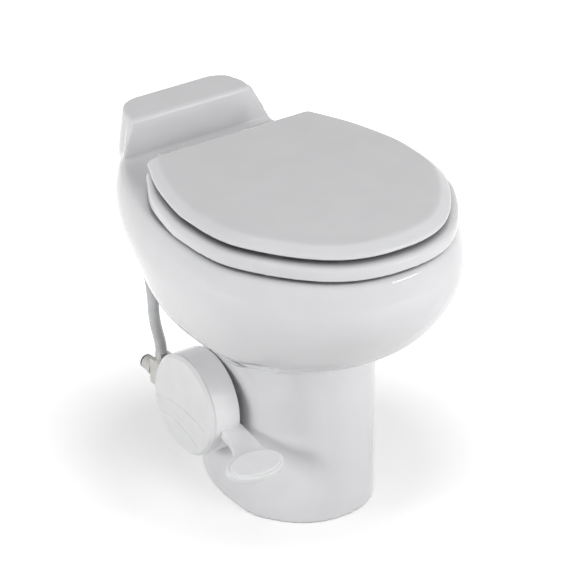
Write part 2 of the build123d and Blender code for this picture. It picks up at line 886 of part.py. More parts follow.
with BuildPart() as hinge_washers:
    with BuildSketch(Plane.XY.offset(cavity_high_z)):
        with Locations((-hinge_spacing / 2, hinge_y), (hinge_spacing / 2, hinge_y)):
            Circle(hinge_washer_radius)
            Circle(hinge_bolt_radius + running_gap, mode=Mode.SUBTRACT)
    extrude(amount=-hinge_washer_height)
write(hinge_washers, "hinge_washers")

wing_nut_top = cavity_high_z - hinge_washer_height
with BuildPart() as hinge_nuts:
    with BuildSketch(Plane.XY.offset(wing_nut_top)):
        with Locations((-hinge_spacing / 2, hinge_y), (hinge_spacing / 2, hinge_y)):
            Circle(wing_nut_radius)
            Rectangle(wing_span, wing_thickness)
            Circle(hinge_bolt_radius + running_gap, mode=Mode.SUBTRACT)
    extrude(amount=-wing_nut_height)
write(hinge_nuts, "hinge_nuts")

# Outlet mechanism: neck, ball chamber and bolt plate in one moulding
outlet_axis = Axis((0, outlet_y, 0), (0, 0, 1))
outlet_plane = Plane(origin=(0, outlet_y, 0), x_dir=(1, 0, 0), z_dir=(0, -1, 0))


def chamber_solid(sphere_radius, neck, top, low):
    """Neck, half sphere and straight wall turned about the outlet axis."""
    reach = math.degrees(math.acos(neck / sphere_radius))
    with BuildPart() as turned:
        with BuildSketch(outlet_plane):
            with BuildLine():
                lower = CenterArc((0, ball_z), sphere_radius, -reach, reach)
                Polyline(lower @ 1, (sphere_radius, top), (0, top), (0, low), (neck, low), lower @ 0)
            make_face()
        revolve(axis=outlet_axis)
    return turned.part


chamber_outer = ball_radius + chamber_gap + chamber_wall
plate_screw_spots = [
    (
        hub_y + plate_screw_circle * math.cos(math.radians(a)),
        plate_centre_z + plate_screw_circle * math.sin(math.radians(a)),
    )
    for a in plate_screw_angles
]
with BuildPart() as mechanism_base:
    add(chamber_solid(chamber_outer, neck_radius + neck_wall, chamber_top, 0))
    with BuildSketch(Plane.XY.offset(chamber_top)):
        with Locations((0, outlet_y)):
            Circle(chamber_flange_radius)
    extrude(amount=-chamber_flange_height)
    with BuildSketch(side_plane(0)):
        with Locations((hub_y, ball_z)):
            Circle(right_boss_radius)
    extrude(amount=right_boss_end)
    with BuildSketch(side_plane(0)):
        with Locations((hub_y, plate_centre_z)):
            Circle(left_pad_radius)
    extrude(amount=left_pad_end)
    with BuildSketch(Plane.XY.offset(base_plate_low)):
        with Locations((0, outlet_y)):
            RectangleRounded(2 * base_plate_half_x, 2 * base_plate_half_y, base_plate_corner)
    extrude(amount=base_plate_height)
    with BuildSketch(Plane.XY.offset(base_plate_low)):
        with Locations((0, outlet_y - bolt_spacing / 2), (0, outlet_y + bolt_spacing / 2)):
            SlotOverall(bolt_slot_length, bolt_slot_width, rotation=quarter_turn)
    extrude(amount=base_plate_height, mode=Mode.SUBTRACT)
    for turn in base_rib_angles:
        across = (math.cos(math.radians(turn)), math.sin(math.radians(turn)), 0)
        away = (across[1], -across[0], 0)
        with BuildSketch(Plane(origin=(0, outlet_y, base_plate_low), x_dir=across, z_dir=away)):
            with BuildLine():
                Polyline(
                    (neck_radius + face_gap, 0),
                    (base_rib_reach, 0),
                    (neck_radius + face_gap, base_rib_height),
                    close=True,
                )
            make_face()
        extrude(amount=base_rib_thickness / 2, both=True)
    add(chamber_solid(ball_radius + chamber_gap, neck_radius, chamber_top, 0), mode=Mode.SUBTRACT)
    with BuildSketch(side_plane(left_pad_end)):
        with Locations((hub_y, ball_z)):
            Circle(bushing_radius)
    extrude(amount=right_boss_end - left_pad_end, mode=Mode.SUBTRACT)
    with BuildSketch(side_plane(left_pad_end)):
        with Locations(*plate_screw_spots):
            Circle(plate_screw_radius + running_gap)
    extrude(amount=plate_screw_depth + face_gap, mode=Mode.SUBTRACT)
write(mechanism_base, "mechanism_base")

with BuildPart() as floor_gasket:
    with BuildSketch():
        with Locations((0, outlet_y)):
            Circle(gasket_radius)
            Circle(neck_radius + neck_wall + soft_gap, mode=Mode.SUBTRACT)
    extrude(amount=base_plate_low)
write(floor_gasket, "floor_gasket")

with BuildPart() as ball_seal:
    with BuildSketch(Plane.XY.offset(chamber_top)):
        with Locations((0, outlet_y)):
            Circle(seal_outer_radius)
            Circle(seal_inner_radius, mode=Mode.SUBTRACT)
    extrude(amount=seal_height)
    with Locations((0, outlet_y, ball_z)):
        Sphere(ball_radius + soft_gap, mode=Mode.SUBTRACT)
write(ball_seal, "ball_seal")

clamp_front_y = outlet_y - clamp_outer_radius
clamp_screw_y = clamp_front_y - clamp_lug_length / 2
clamp_screw_z = (clamp_low + clamp_high) / 2
clamp_lug_x = clamp_slot / 2 + clamp_lug_thickness / 2
with BuildPart() as clamp_ring:
    with BuildSketch(Plane.XY.offset(clamp_low)):
        with Locations((0, outlet_y)):
            Circle(clamp_outer_radius)
            Circle(clamp_outer_radius - clamp_wall, mode=Mode.SUBTRACT)
    extrude(amount=clamp_high - clamp_low)
    for low in (clamp_low, clamp_high - clamp_lip):
        with BuildSketch(Plane.XY.offset(low)):
            with Locations((0, outlet_y)):
                Circle(clamp_outer_radius)
                Circle(clamp_lip_radius, mode=Mode.SUBTRACT)
        extrude(amount=clamp_lip)
    with BuildSketch(Plane.XY.offset(clamp_low)):
        with Locations((0, clamp_front_y)):
            Rectangle(clamp_slot, clamp_lug_length)
    extrude(amount=clamp_high - clamp_low, mode=Mode.SUBTRACT)
    with BuildSketch(Plane.XY.offset(clamp_low)):
        with Locations((-clamp_lug_x, clamp_screw_y), (clamp_lug_x, clamp_screw_y)):
            Rectangle(clamp_lug_thickness, clamp_lug_length + 2 * clamp_wall)
    extrude(amount=clamp_high - clamp_low)
    with BuildSketch(side_plane(-clamp_slot)):
        with Locations((clamp_screw_y, clamp_screw_z)):
            Circle(clamp_screw_radius + running_gap)
    extrude(amount=2 * clamp_slot, mode=Mode.SUBTRACT)
write(clamp_ring, "clamp_ring")

clamp_grip = clamp_slot / 2 + clamp_lug_thickness
with BuildPart() as clamp_screw:
    with BuildSketch(side_plane(-clamp_grip)):
        with Locations((clamp_screw_y, clamp_screw_z)):
            Circle(clamp_screw_radius)
    extrude(amount=2 * clamp_grip + clamp_screw_head_height)
    with BuildSketch(side_plane(-clamp_grip - clamp_screw_head_height)):
        with Locations((clamp_screw_y, clamp_screw_z)):
            Circle(clamp_screw_head_radius)
    extrude(amount=clamp_screw_head_height)
    with BuildSketch(side_plane(clamp_grip)):
        with Locations((clamp_screw_y, clamp_screw_z)):
            RegularPolygon(clamp_screw_head_radius, hex_sides)
    extrude(amount=clamp_screw_head_height)
write(clamp_screw, "clamp_screw")

# Flushing ball: a spherical shell cut to a wedge, carried on two trunnions with square holes
wedge_side = ball_radius * math.sin(math.radians(ball_half_angle)) * 2
wedge_rise = ball_radius * math.cos(math.radians(ball_half_angle)) * 2
with BuildPart() as flush_ball:
    with Locations((0, outlet_y, ball_z)):
        Sphere(ball_radius)
        Sphere(ball_radius - ball_wall, mode=Mode.SUBTRACT)
    with BuildSketch(side_plane(-ball_radius)):
        with BuildLine():
            Polyline(
                (hub_y, ball_z),
                (hub_y + wedge_side, ball_z + wedge_rise),
                (hub_y - wedge_side, ball_z + wedge_rise),
                close=True,
            )
        make_face()
    extrude(amount=2 * ball_radius, mode=Mode.INTERSECT)
    for side in (-1, 1):
        with BuildSketch(side_plane(side * shaft_step)):
            with Locations((hub_y, ball_z)):
                Circle(trunnion_radius)
        extrude(amount=-side * trunnion_length)
    with BuildSketch(side_plane(-shaft_step)):
        with Locations((hub_y, ball_z)):
            Rectangle(shaft_square + 2 * running_gap, shaft_square + 2 * running_gap)
    extrude(amount=2 * shaft_step, mode=Mode.SUBTRACT)
write(flush_ball, "flush_ball")

with BuildPart() as ball_shaft:
    with BuildSketch(side_plane(shaft_end)):
        with Locations((hub_y, ball_z)):
            Circle(shaft_radius)
    extrude(amount=-shaft_end - shaft_step)
    with BuildSketch(side_plane(shaft_end)):
        with Locations((hub_y, ball_z + shaft_flat + shaft_radius)):
            Rectangle(2 * shaft_radius, 2 * shaft_radius)
    extrude(amount=shaft_flat_start - shaft_end, mode=Mode.SUBTRACT)
    with BuildSketch(side_plane(-shaft_step)):
        with Locations((hub_y, ball_z)):
            Rectangle(shaft_square, shaft_square)
    extrude(amount=shaft_step - shaft_square_end)
write(ball_shaft, "ball_shaft")

stub_head_x = right_boss_end + bushing_flange_height + face_gap
with BuildPart() as ball_stub:
    with BuildSketch(side_plane(shaft_square_end)):
        with Locations((hub_y, ball_z)):
            Rectangle(shaft_square, shaft_square)
    extrude(amount=shaft_step - shaft_square_end)
    with BuildSketch(side_plane(shaft_step)):
        with Locations((hub_y, ball_z)):
            Circle(shaft_radius)
    extrude(amount=stub_head_x - shaft_step)
    with BuildSketch(side_plane(stub_head_x)):
        with Locations((hub_y, ball_z)):
            Circle(stub_head_radius)
    extrude(amount=stub_head_height)
write(ball_stub, "ball_stub")

oring_major = shaft_radius + soft_gap + oring_wire
with BuildPart() as shaft_bushings:
    for side in (-1, 1):
        with BuildSketch(side_plane(side * bushing_inner_end)):
            with Locations((hub_y, ball_z)):
                Circle(bushing_radius)
        extrude(amount=side * (right_boss_end - bushing_inner_end))
        with BuildSketch(side_plane(side * right_boss_end)):
            with Locations((hub_y, ball_z)):
                Circle(bushing_flange_radius)
        extrude(amount=side * bushing_flange_height)
    with BuildSketch(side_plane(-stub_head_x)):
        with Locations((hub_y, ball_z)):
            Circle(shaft_radius + running_gap)
    extrude(amount=2 * stub_head_x, mode=Mode.SUBTRACT)
    for side in (-1, 1):
        with BuildSketch(side_plane(side * oring_place - oring_wire - face_gap)):
            with Locations((hub_y, ball_z)):
                Circle(oring_major + oring_wire + running_gap)
        extrude(amount=2 * (oring_wire + face_gap), mode=Mode.SUBTRACT)
write(shaft_bushings, "shaft_bushings")

with BuildPart() as shaft_o_rings:
    for side in (-1, 1):
        with Locations(side_plane(side * oring_place) * Location((hub_y, ball_z, 0))):
            Torus(oring_major, oring_wire)
write(shaft_o_rings, "shaft_o_rings")


def tooth_points(base, tip, pitch, spread, centre_z, turn):
    """Corners of one straight-flanked tooth; spread is how much half of it widens per unit of radius."""
    along = (math.cos(math.radians(turn)), math.sin(math.radians(turn)))
    corners = []
    for radius, side in ((base, -1), (tip, -1), (tip, 1), (base, 1)):
        half = side * (tooth_half_thickness + (radius - pitch) * spread)
        corners.append(
            (hub_y + radius * along[0] - half * along[1], centre_z + radius * along[1] + half * along[0])
        )
    return corners


tooth_spread = math.tan(math.radians(tooth_angle))
pinion_root = pinion_pitch_radius - tooth_dedendum
ring_root = ring_pitch_radius + tooth_dedendum
with BuildPart() as pinion_gear:
    with BuildSketch(side_plane(pinion_start)):
        with Locations((hub_y, ball_z)):
            Circle(pinion_root)
        for step in range(pinion_teeth):
            turn = quarter_turn + (step + 1 / 2) * full_turn / pinion_teeth
            with BuildLine():
                Polyline(
                    *tooth_points(
                        pinion_root - tooth_root_overlap,
                        pinion_pitch_radius + tooth_addendum,
                        pinion_pitch_radius,
                        -tooth_spread,
                        ball_z,
                        turn,
                    ),
                    close=True,
                )
            make_face()
        with Locations((hub_y, ball_z)):
            Circle(shaft_radius + running_gap, mode=Mode.SUBTRACT)
        with Locations((hub_y, ball_z + shaft_flat + running_gap + key_height / 2)):
            Rectangle(2 * shaft_flat, key_height)
    extrude(amount=pinion_width)
write(pinion_gear, "pinion_gear")

# Drive plate: closes the side hole, carries the pedal journal and the water valve
arm_outer = plate_outer - valve_arm_thickness
valve_screw_low_z = (valve_low_z + valve_high_z) / 2 - valve_screw_spacing / 2
valve_screw_spots = [
    (valve_screw_y, valve_screw_low_z),
    (valve_screw_y, valve_screw_low_z + valve_screw_spacing),
]
spring_leg_y = hub_y + spring_radius
with BuildPart() as drive_plate:
    with BuildSketch(side_plane(left_pad_end)):
        with Locations((hub_y, plate_centre_z)):
            Circle(plate_radius)
    extrude(amount=plate_outer - left_pad_end)
    with BuildSketch(side_plane(arm_outer)):
        with Locations(((valve_arm_start_y + valve_arm_end_y) / 2, (valve_arm_low_z + valve_arm_high_z) / 2)):
            RectangleRounded(
                valve_arm_end_y - valve_arm_start_y, valve_arm_high_z - valve_arm_low_z, valve_arm_thickness
            )
    extrude(amount=valve_arm_thickness)
    with BuildSketch(side_plane(plate_outer)):
        with Locations((hub_y, hub_z)):
            Circle(journal_radius)
    extrude(amount=journal_end - plate_outer)
    with BuildSketch(side_plane(journal_end)):
        with Locations((hub_y, hub_z)):
            Circle(pedal_screw_radius + running_gap)
    extrude(amount=pedal_screw_depth, mode=Mode.SUBTRACT)
    with BuildSketch(side_plane(arm_outer)):
        with Locations((hub_y, ball_z)):
            Circle(shaft_radius + shaft_bore_gap)
    extrude(amount=left_pad_end - arm_outer, mode=Mode.SUBTRACT)
    with BuildSketch(side_plane(left_pad_end)):
        with Locations((hub_y, ball_z)):
            Circle(bushing_flange_radius + face_gap)
    extrude(amount=-bushing_flange_height - face_gap, mode=Mode.SUBTRACT)
    with BuildSketch(side_plane(arm_outer)):
        with Locations(*plate_screw_spots):
            Circle(plate_screw_radius + running_gap)
    extrude(amount=left_pad_end - arm_outer, mode=Mode.SUBTRACT)
    with BuildSketch(side_plane(arm_outer)):
        with Locations(*plate_screw_spots):
            Circle(plate_screw_head_radius + running_gap)
    extrude(amount=valve_arm_thickness + plate_screw_head_height, mode=Mode.SUBTRACT)
    with BuildSketch(side_plane(arm_outer)):
        with Locations(*valve_screw_spots):
            Circle(valve_screw_radius + running_gap)
    extrude(amount=valve_arm_thickness, mode=Mode.SUBTRACT)
    with BuildSketch(side_plane(arm_outer)):
        with Locations((spring_leg_y, hub_z)):
            Circle(spring_wire / 2 + running_gap)
    extrude(amount=spring_anchor_depth + face_gap, mode=Mode.SUBTRACT)
write(drive_plate, "drive_plate")

with BuildPart() as drive_plate_screws:
    with BuildSketch(side_plane(plate_outer)):
        with Locations(*plate_screw_spots):
            Circle(plate_screw_head_radius)
    extrude(amount=plate_screw_head_height)
    with BuildSketch(side_plane(plate_outer)):
        with Locations(*plate_screw_spots):
            Circle(plate_screw_radius)
    extrude(amount=left_pad_end - plate_outer + plate_screw_depth)
write(drive_plate_screws, "drive_plate_screws")

# Pedal: hub drum, inner ring gear, cam, arm and pad in one moulding
pad_plane = Plane(
    origin=(pad_x, pad_y, pad_z),
    x_dir=(1, 0, 0),
    z_dir=(0, -math.sin(math.radians(pad_tilt)), math.cos(math.radians(pad_tilt))),
)
arm_top_line = [(arm_root_y, arm_root_top_z), (arm_middle_y, arm_middle_top_z), (arm_tip_y, arm_tip_top_z)]
arm_low_line = [(y, z - arm_depth) for y, z in arm_top_line]
with BuildPart() as pedal_arm:
    with BuildSketch(side_plane(arm_tip_outer_x)):
        with BuildLine():
            Spline(*arm_top_line)
            Line(arm_top_line[-1], arm_low_line[-1])
            Spline(*arm_low_line)
            Line(arm_low_line[0], arm_top_line[0])
        make_face()
    extrude(amount=arm_inner_x - arm_tip_outer_x)
    with BuildSketch(Plane.XY.offset(pad_z - overrun)):
        with BuildLine():
            Spline(
                (arm_inner_x, arm_root_y),
                (arm_middle_inner_x, arm_middle_y),
                (arm_tip_inner_x, arm_tip_y),
            )
            Line((arm_tip_inner_x, arm_tip_y), (arm_tip_outer_x, arm_tip_y))
            Spline(
                (arm_outer_x, arm_root_y),
                (arm_middle_outer_x, arm_middle_y),
                (arm_tip_outer_x, arm_tip_y),
            )
            Line((arm_outer_x, arm_root_y), (arm_inner_x, arm_root_y))
        make_face()
    extrude(amount=2 * overrun, mode=Mode.INTERSECT)
    fillet(pedal_arm.edges().filter_by(lambda e: e.length > drum_radius), arm_edge_radius)
    with BuildSketch(side_plane(drum_outer)):
        with Locations((hub_y, hub_z)):
            Circle(drum_radius - drum_wall / 2)
    extrude(amount=arm_inner_x - drum_outer + overrun, mode=Mode.SUBTRACT)

with BuildPart() as pedal_pad:
    with BuildSketch(pad_plane):
        Ellipse(pad_half_x, pad_half_y)
    extrude(amount=-pad_thickness)
    fillet(pedal_pad.edges().group_by(SortBy.LENGTH)[-1], pad_edge_radius)

cam_radii = [(0, drum_radius)]
cam_radii += [
    (-pedal_travel * k / cam_steps, drum_radius + cam_lift * k / cam_steps)
    for k in range(1, cam_steps + 1)
]
cam_radii += [(-pedal_travel - cam_dwell_angle, drum_radius + cam_lift)]
cam_radii += [(-pedal_travel - cam_dwell_angle - cam_fall_angle, drum_radius)]
cam_rim = [
    (hub_y + r * math.cos(math.radians(a)), hub_z + r * math.sin(math.radians(a))) for a, r in cam_radii
]
peg_turn = quarter_turn - math.degrees(
    math.asin((spring_peg_radius + spring_wire / 2 + soft_gap) / spring_peg_place)
)
peg_spot = (
    hub_y + spring_peg_place * math.cos(math.radians(peg_turn)),
    hub_z + spring_peg_place * math.sin(math.radians(peg_turn)),
)
drum_rib_length = drum_radius - ring_root - ring_wall - drum_wall + tooth_root_overlap
with BuildPart() as pedal:
    with BuildSketch(side_plane(drum_outer)):
        with Locations((hub_y, hub_z)):
            Circle(drum_radius)
            Circle(drum_radius - drum_wall, mode=Mode.SUBTRACT)
    extrude(amount=drum_inner - drum_outer)
    drum_circles = pedal.edges().filter_by(GeomType.CIRCLE)
    fillet(drum_circles.filter_by(lambda e: abs(e.radius - drum_radius) < face_gap), drum_edge_radius)
    add(pedal_arm.part)
    with BuildSketch(side_plane(web_outer)):
        with Locations((hub_y, hub_z)):
            Circle(drum_radius - drum_wall / 2)
    extrude(amount=web_thickness)
    with BuildSketch(side_plane(web_outer)):
        with Locations((hub_y, hub_z)):
            Circle(hub_boss_radius)
    extrude(amount=hub_boss_inner - web_outer)
    with BuildSketch(side_plane(web_outer)):
        with Locations((hub_y, hub_z)):
            Circle(ring_root + ring_wall)
            Circle(ring_root, mode=Mode.SUBTRACT)
    extrude(amount=ring_inner - web_outer)
    with BuildSketch(side_plane(pinion_start)):
        for step in range(ring_tooth_first, ring_tooth_first + ring_tooth_count):
            with BuildLine():
                Polyline(
                    *tooth_points(
                        ring_root + tooth_root_overlap,
                        ring_pitch_radius - tooth_addendum,
                        ring_pitch_radius,
                        tooth_spread,
                        hub_z,
                        quarter_turn + step * full_turn / ring_teeth,
                    ),
                    close=True,
                )
            make_face()
    extrude(amount=ring_inner - pinion_start)
    for step in range(drum_rib_count):
        turn = math.radians((step + 1 / 2) * full_turn / drum_rib_count)
        middle = (ring_root + ring_wall + drum_radius - drum_wall) / 2
        with BuildSketch(side_plane(web_outer)):
            place = (hub_y + middle * math.cos(turn), hub_z + middle * math.sin(turn))
            with Locations(Location(place, math.degrees(turn))):
                Rectangle(drum_rib_length, drum_rib_thickness)
        extrude(amount=web_thickness + drum_rib_depth)
    with BuildSketch(side_plane(drum_inner - cam_width)):
        with BuildLine():
            Polyline((hub_y, hub_z), *cam_rim, close=True)
        make_face()
        with Locations((hub_y, hub_z)):
            Circle(drum_radius - drum_wall / 2, mode=Mode.SUBTRACT)
    extrude(amount=cam_width)
    with BuildSketch(side_plane(web_outer + web_thickness)):
        with Locations(peg_spot):
            Circle(spring_peg_radius)
    extrude(amount=spring_peg_length)
    with BuildSketch(side_plane(web_outer)):
        with Locations((hub_y, hub_z)):
            Circle(journal_radius + running_gap)
    extrude(amount=hub_boss_inner - web_outer, mode=Mode.SUBTRACT)
    add(pedal_pad.part)
    with BuildSketch(pad_plane):
        Ellipse(pad_half_x - insert_margin, pad_half_y - insert_margin)
    extrude(amount=-insert_recess, mode=Mode.SUBTRACT)
write(pedal, "pedal")

with BuildPart() as pedal_insert:
    with BuildSketch(pad_plane.offset(-insert_recess)):
        Ellipse(pad_half_x - insert_margin - running_gap, pad_half_y - insert_margin - running_gap)
    extrude(amount=insert_height)
    fillet(pedal_insert.faces().sort_by(Axis.Z)[-1].edges(), insert_edge_radius)
write(pedal_insert, "pedal_insert")

cover_inner = drum_outer - cover_gap
cover_spigot_outer = drum_radius - drum_wall - running_gap


def cover_line(shares):
    """Points of one styling groove on the cover face."""
    return [(hub_y + cover_radius * a, hub_z + cover_radius * b) for a, b in shares]


with BuildPart() as pedal_cover:
    with BuildSketch(side_plane(cover_outer)):
        with Locations((hub_y, hub_z)):
            Circle(cover_radius)
    extrude(amount=cover_inner - cover_outer)
    chamfer(pedal_cover.edges().sort_by(Axis.X)[0], cover_bevel)
    with BuildSketch(side_plane(cover_outer + cover_plate)):
        with Locations((hub_y, hub_z)):
            Circle(cover_spigot_outer - cover_spigot_wall)
    extrude(amount=cover_inner - cover_outer - cover_plate, mode=Mode.SUBTRACT)
    with BuildSketch(side_plane(cover_inner)):
        with Locations((hub_y, hub_z)):
            Circle(cover_spigot_outer)
            Circle(cover_spigot_outer - cover_spigot_wall, mode=Mode.SUBTRACT)
    extrude(amount=cover_spigot_length)
    for shares in (upper_groove_shares, lower_groove_shares):
        with BuildLine() as groove_line:
            Spline(*cover_line(shares))
        with BuildSketch(side_plane(cover_outer)):
            trace(groove_line.line, cover_groove_width)
        extrude(amount=cover_groove_depth, mode=Mode.SUBTRACT)
write(pedal_cover, "pedal_cover")

with BuildPart() as pedal_washer:
    with BuildSketch(side_plane(journal_end)):
        with Locations((hub_y, hub_z)):
            Circle(pedal_washer_radius)
            Circle(pedal_screw_radius + running_gap, mode=Mode.SUBTRACT)
    extrude(amount=-pedal_washer_thickness)
write(pedal_washer, "pedal_washer")

screw_head_x = journal_end - pedal_washer_thickness
with BuildPart() as pedal_screw:
    with BuildSketch(side_plane(screw_head_x)):
        with Locations((hub_y, hub_z)):
            Circle(pedal_screw_head_radius)
    extrude(amount=-pedal_screw_head_height)
    with BuildSketch(side_plane(screw_head_x)):
        with Locations((hub_y, hub_z)):
            Circle(pedal_screw_radius)
    extrude(amount=pedal_screw_depth)
write(pedal_screw, "pedal_screw")

# Torsion spring round the hub boss, one leg in the drive plate and one beside the peg in the drum
with BuildPart() as coil:
    with BuildLine():
        coil_path = Helix(
            spring_pitch,
            spring_pitch * spring_turns,
            spring_radius,
            center=(spring_start, hub_y, hub_z),
            direction=(-1, 0, 0),
        )
    with BuildSketch(Plane(origin=coil_path @ 0, z_dir=coil_path % 0)):
        Circle(spring_wire / 2)
    sweep(path=coil_path, is_frenet=True)
    with BuildSketch(side_plane(spring_start - spring_wire / 2)):
        with Locations((hub_y, hub_z - spring_radius)):
            Circle(spring_wire / 2)
    extrude(amount=arm_outer + spring_anchor_depth - spring_start + spring_wire / 2)
    coil_end = coil_path @ 1
    with BuildSketch(Plane.XZ.offset(-coil_end.Y + spring_wire / 2)):
        with Locations((coil_end.X, coil_end.Z)):
            Circle(spring_wire / 2)
    extrude(amount=-spring_leg_length)
with BuildPart() as return_spring:
    add(coil.part.rotate(Axis((spring_start, hub_y, hub_z), (1, 0, 0)), quarter_turn))
write(return_spring, "return_spring")

# Water valve, worked by the cam through the plunger
valve_inner = plate_outer - valve_arm_thickness
plunger_bore_end = valve_front_y + plunger_depth + plunger_stroke + soft_gap
with BuildPart() as valve_body:
    with BuildSketch(side_plane(valve_inner - valve_width)):
        with Locations(((valve_front_y + valve_back_y) / 2, (valve_low_z + valve_high_z) / 2)):
            RectangleRounded(valve_back_y - valve_front_y, valve_high_z - valve_low_z, valve_edge_radius)
    extrude(amount=valve_width)
    with BuildSketch(Plane.XY.offset(valve_high_z)):
        with Locations((barb_x, barb_y)):
            Circle(barb_base_radius)
    extrude(amount=barb_base_height)
    with BuildSketch(Plane.XY.offset(valve_high_z)):
        with Locations((barb_x, barb_y)):
            Circle(barb_radius)
    extrude(amount=barb_top - valve_high_z)
    for step in range(barb_ridge_count):
        ridge_low = barb_top - (step + 1) * barb_ridge_pitch
        with BuildSketch(Plane.XY.offset(ridge_low)):
            with Locations((barb_x, barb_y)):
                Circle(barb_radius + barb_ridge)
        with BuildSketch(Plane.XY.offset(ridge_low + barb_ridge_pitch)):
            with Locations((barb_x, barb_y)):
                Circle(barb_radius - barb_ridge)
        loft()
    with BuildSketch(Plane.XZ.offset(-valve_back_y)):
        with Locations((barb_x, inlet_z)):
            Circle(inlet_collar_radius)
    extrude(amount=-inlet_collar_length)
    with BuildSketch(Plane.XZ.offset(-valve_back_y)):
        with Locations((barb_x, inlet_z)):
            Circle(inlet_radius)
    extrude(amount=-inlet_collar_length - inlet_length)
    with BuildSketch(Plane.XZ.offset(-inlet_bore_end_y)):
        with Locations((barb_x, inlet_z)):
            Circle(inlet_bore)
    extrude(amount=inlet_bore_end_y - valve_back_y - inlet_collar_length - inlet_length, mode=Mode.SUBTRACT)
    with BuildSketch(Plane.XY.offset(inlet_z)):
        with Locations((barb_x, barb_y)):
            Circle(barb_bore)
    extrude(amount=barb_top - inlet_z, mode=Mode.SUBTRACT)
    with BuildSketch(Plane.XZ.offset(-valve_front_y)):
        with Locations((plunger_x, hub_z)):
            Circle(plunger_radius + running_gap)
    extrude(amount=valve_front_y - plunger_bore_end, mode=Mode.SUBTRACT)
    with BuildSketch(side_plane(valve_inner)):
        with Locations(*valve_screw_spots):
            Circle(valve_screw_radius + running_gap)
    extrude(amount=valve_arm_thickness - valve_screw_depth - face_gap, mode=Mode.SUBTRACT)
write(valve_body, "valve_body")

plunger_tip_y = hub_y + drum_radius + soft_gap
with BuildPart() as valve_plunger:
    with BuildSketch(Plane.XZ.offset(-plunger_tip_y)):
        with Locations((plunger_x, hub_z)):
            Circle(plunger_radius)
    extrude(amount=plunger_tip_y - valve_front_y - plunger_depth)
    fillet(valve_plunger.edges().sort_by(Axis.Y)[0], plunger_tip_radius)
write(valve_plunger, "valve_plunger")

with BuildPart() as valve_screws:
    with BuildSketch(side_plane(plate_outer)):
        with Locations(*valve_screw_spots):
            Circle(valve_screw_head_radius)
    extrude(amount=valve_screw_head_height)
    with BuildSketch(side_plane(plate_outer)):
        with Locations(*valve_screw_spots):
            Circle(valve_screw_radius)
    extrude(amount=-valve_screw_depth)
write(valve_screws, "valve_screws")

with BuildPart() as inlet_washer:
    with BuildSketch(Plane.XZ.offset(-valve_back_y - inlet_collar_length - inlet_length)):
        with Locations((barb_x, inlet_z)):
            Circle(inlet_radius - soft_gap)
            Circle(inlet_bore, mode=Mode.SUBTRACT)
    extrude(amount=-inlet_washer_thickness)
write(inlet_washer, "inlet_washer")

with BuildPart() as supply_hose:
    with BuildLine() as hose_path:
        FilletPolyline(*hose_route, radius=hose_bend_radii)
    with BuildSketch(Plane(origin=hose_route[0], z_dir=(0, 0, 1))):
        Circle(hose_radius)
        Circle(hose_bore, mode=Mode.SUBTRACT)
    sweep()
write(supply_hose, "supply_hose")

hose_clamp_spots = [
    (barb_x, barb_y, valve_high_z + barb_base_height + clamp_band_width / 2),
    (breaker_x, breaker_y, breaker_low - clamp_band_width - clamp_band_width / 2),
]
with BuildPart() as hose_clamps:
    for x, y, z in hose_clamp_spots:
        with BuildSketch(Plane.XY.offset(z)):
            with Locations((x, y)):
                Circle(hose_radius + running_gap + clamp_band_thickness)
            with Locations((x, y + hose_radius + clamp_tab / 2)):
                Rectangle(clamp_tab, clamp_tab)
            with Locations((x, y)):
                Circle(hose_radius + running_gap, mode=Mode.SUBTRACT)
        extrude(amount=clamp_band_width)
write(hose_clamps, "hose_clamps")

# Vacuum breaker at the top of the hose, feeding the rim nozzle
float_low_z = breaker_low + breaker_floor + face_gap
with BuildPart() as vacuum_breaker:
    with BuildSketch(Plane.XY.offset(breaker_low)):
        with Locations((breaker_x, breaker_y)):
            Circle(breaker_radius)
    extrude(amount=breaker_high - breaker_low)
    with BuildSketch(Plane.XZ.offset(-breaker_y)):
        with Locations((breaker_x, nozzle_z)):
            Circle(breaker_socket_radius)
    extrude(amount=breaker_y - breaker_socket_end_y)
    with BuildSketch(Plane.XY.offset(breaker_low)):
        with Locations((breaker_x, breaker_y)):
            Circle(barb_radius)
    extrude(amount=breaker_barb_low - breaker_low)
    for step in range(barb_ridge_count):
        ridge_high = breaker_barb_low + (step + 1) * barb_ridge_pitch
        with BuildSketch(Plane.XY.offset(ridge_high - barb_ridge_pitch)):
            with Locations((breaker_x, breaker_y)):
                Circle(barb_radius - barb_ridge)
        with BuildSketch(Plane.XY.offset(ridge_high)):
            with Locations((breaker_x, breaker_y)):
                Circle(barb_radius + barb_ridge)
        loft()
    with BuildSketch(Plane.XY.offset(breaker_low + breaker_floor)):
        with Locations((breaker_x, breaker_y)):
            Circle(breaker_radius - breaker_wall)
    extrude(amount=breaker_high - breaker_low - breaker_floor, mode=Mode.SUBTRACT)
    with BuildSketch(Plane.XZ.offset(-breaker_y)):
        with Locations((breaker_x, nozzle_z)):
            Circle(nozzle_radius + running_gap)
    extrude(amount=breaker_y - breaker_socket_end_y, mode=Mode.SUBTRACT)
    with BuildSketch(Plane.XY.offset(breaker_barb_low)):
        with Locations((breaker_x, breaker_y)):
            Circle(barb_bore)
    extrude(amount=breaker_low + breaker_floor - breaker_barb_low, mode=Mode.SUBTRACT)
write(vacuum_breaker, "vacuum_breaker")

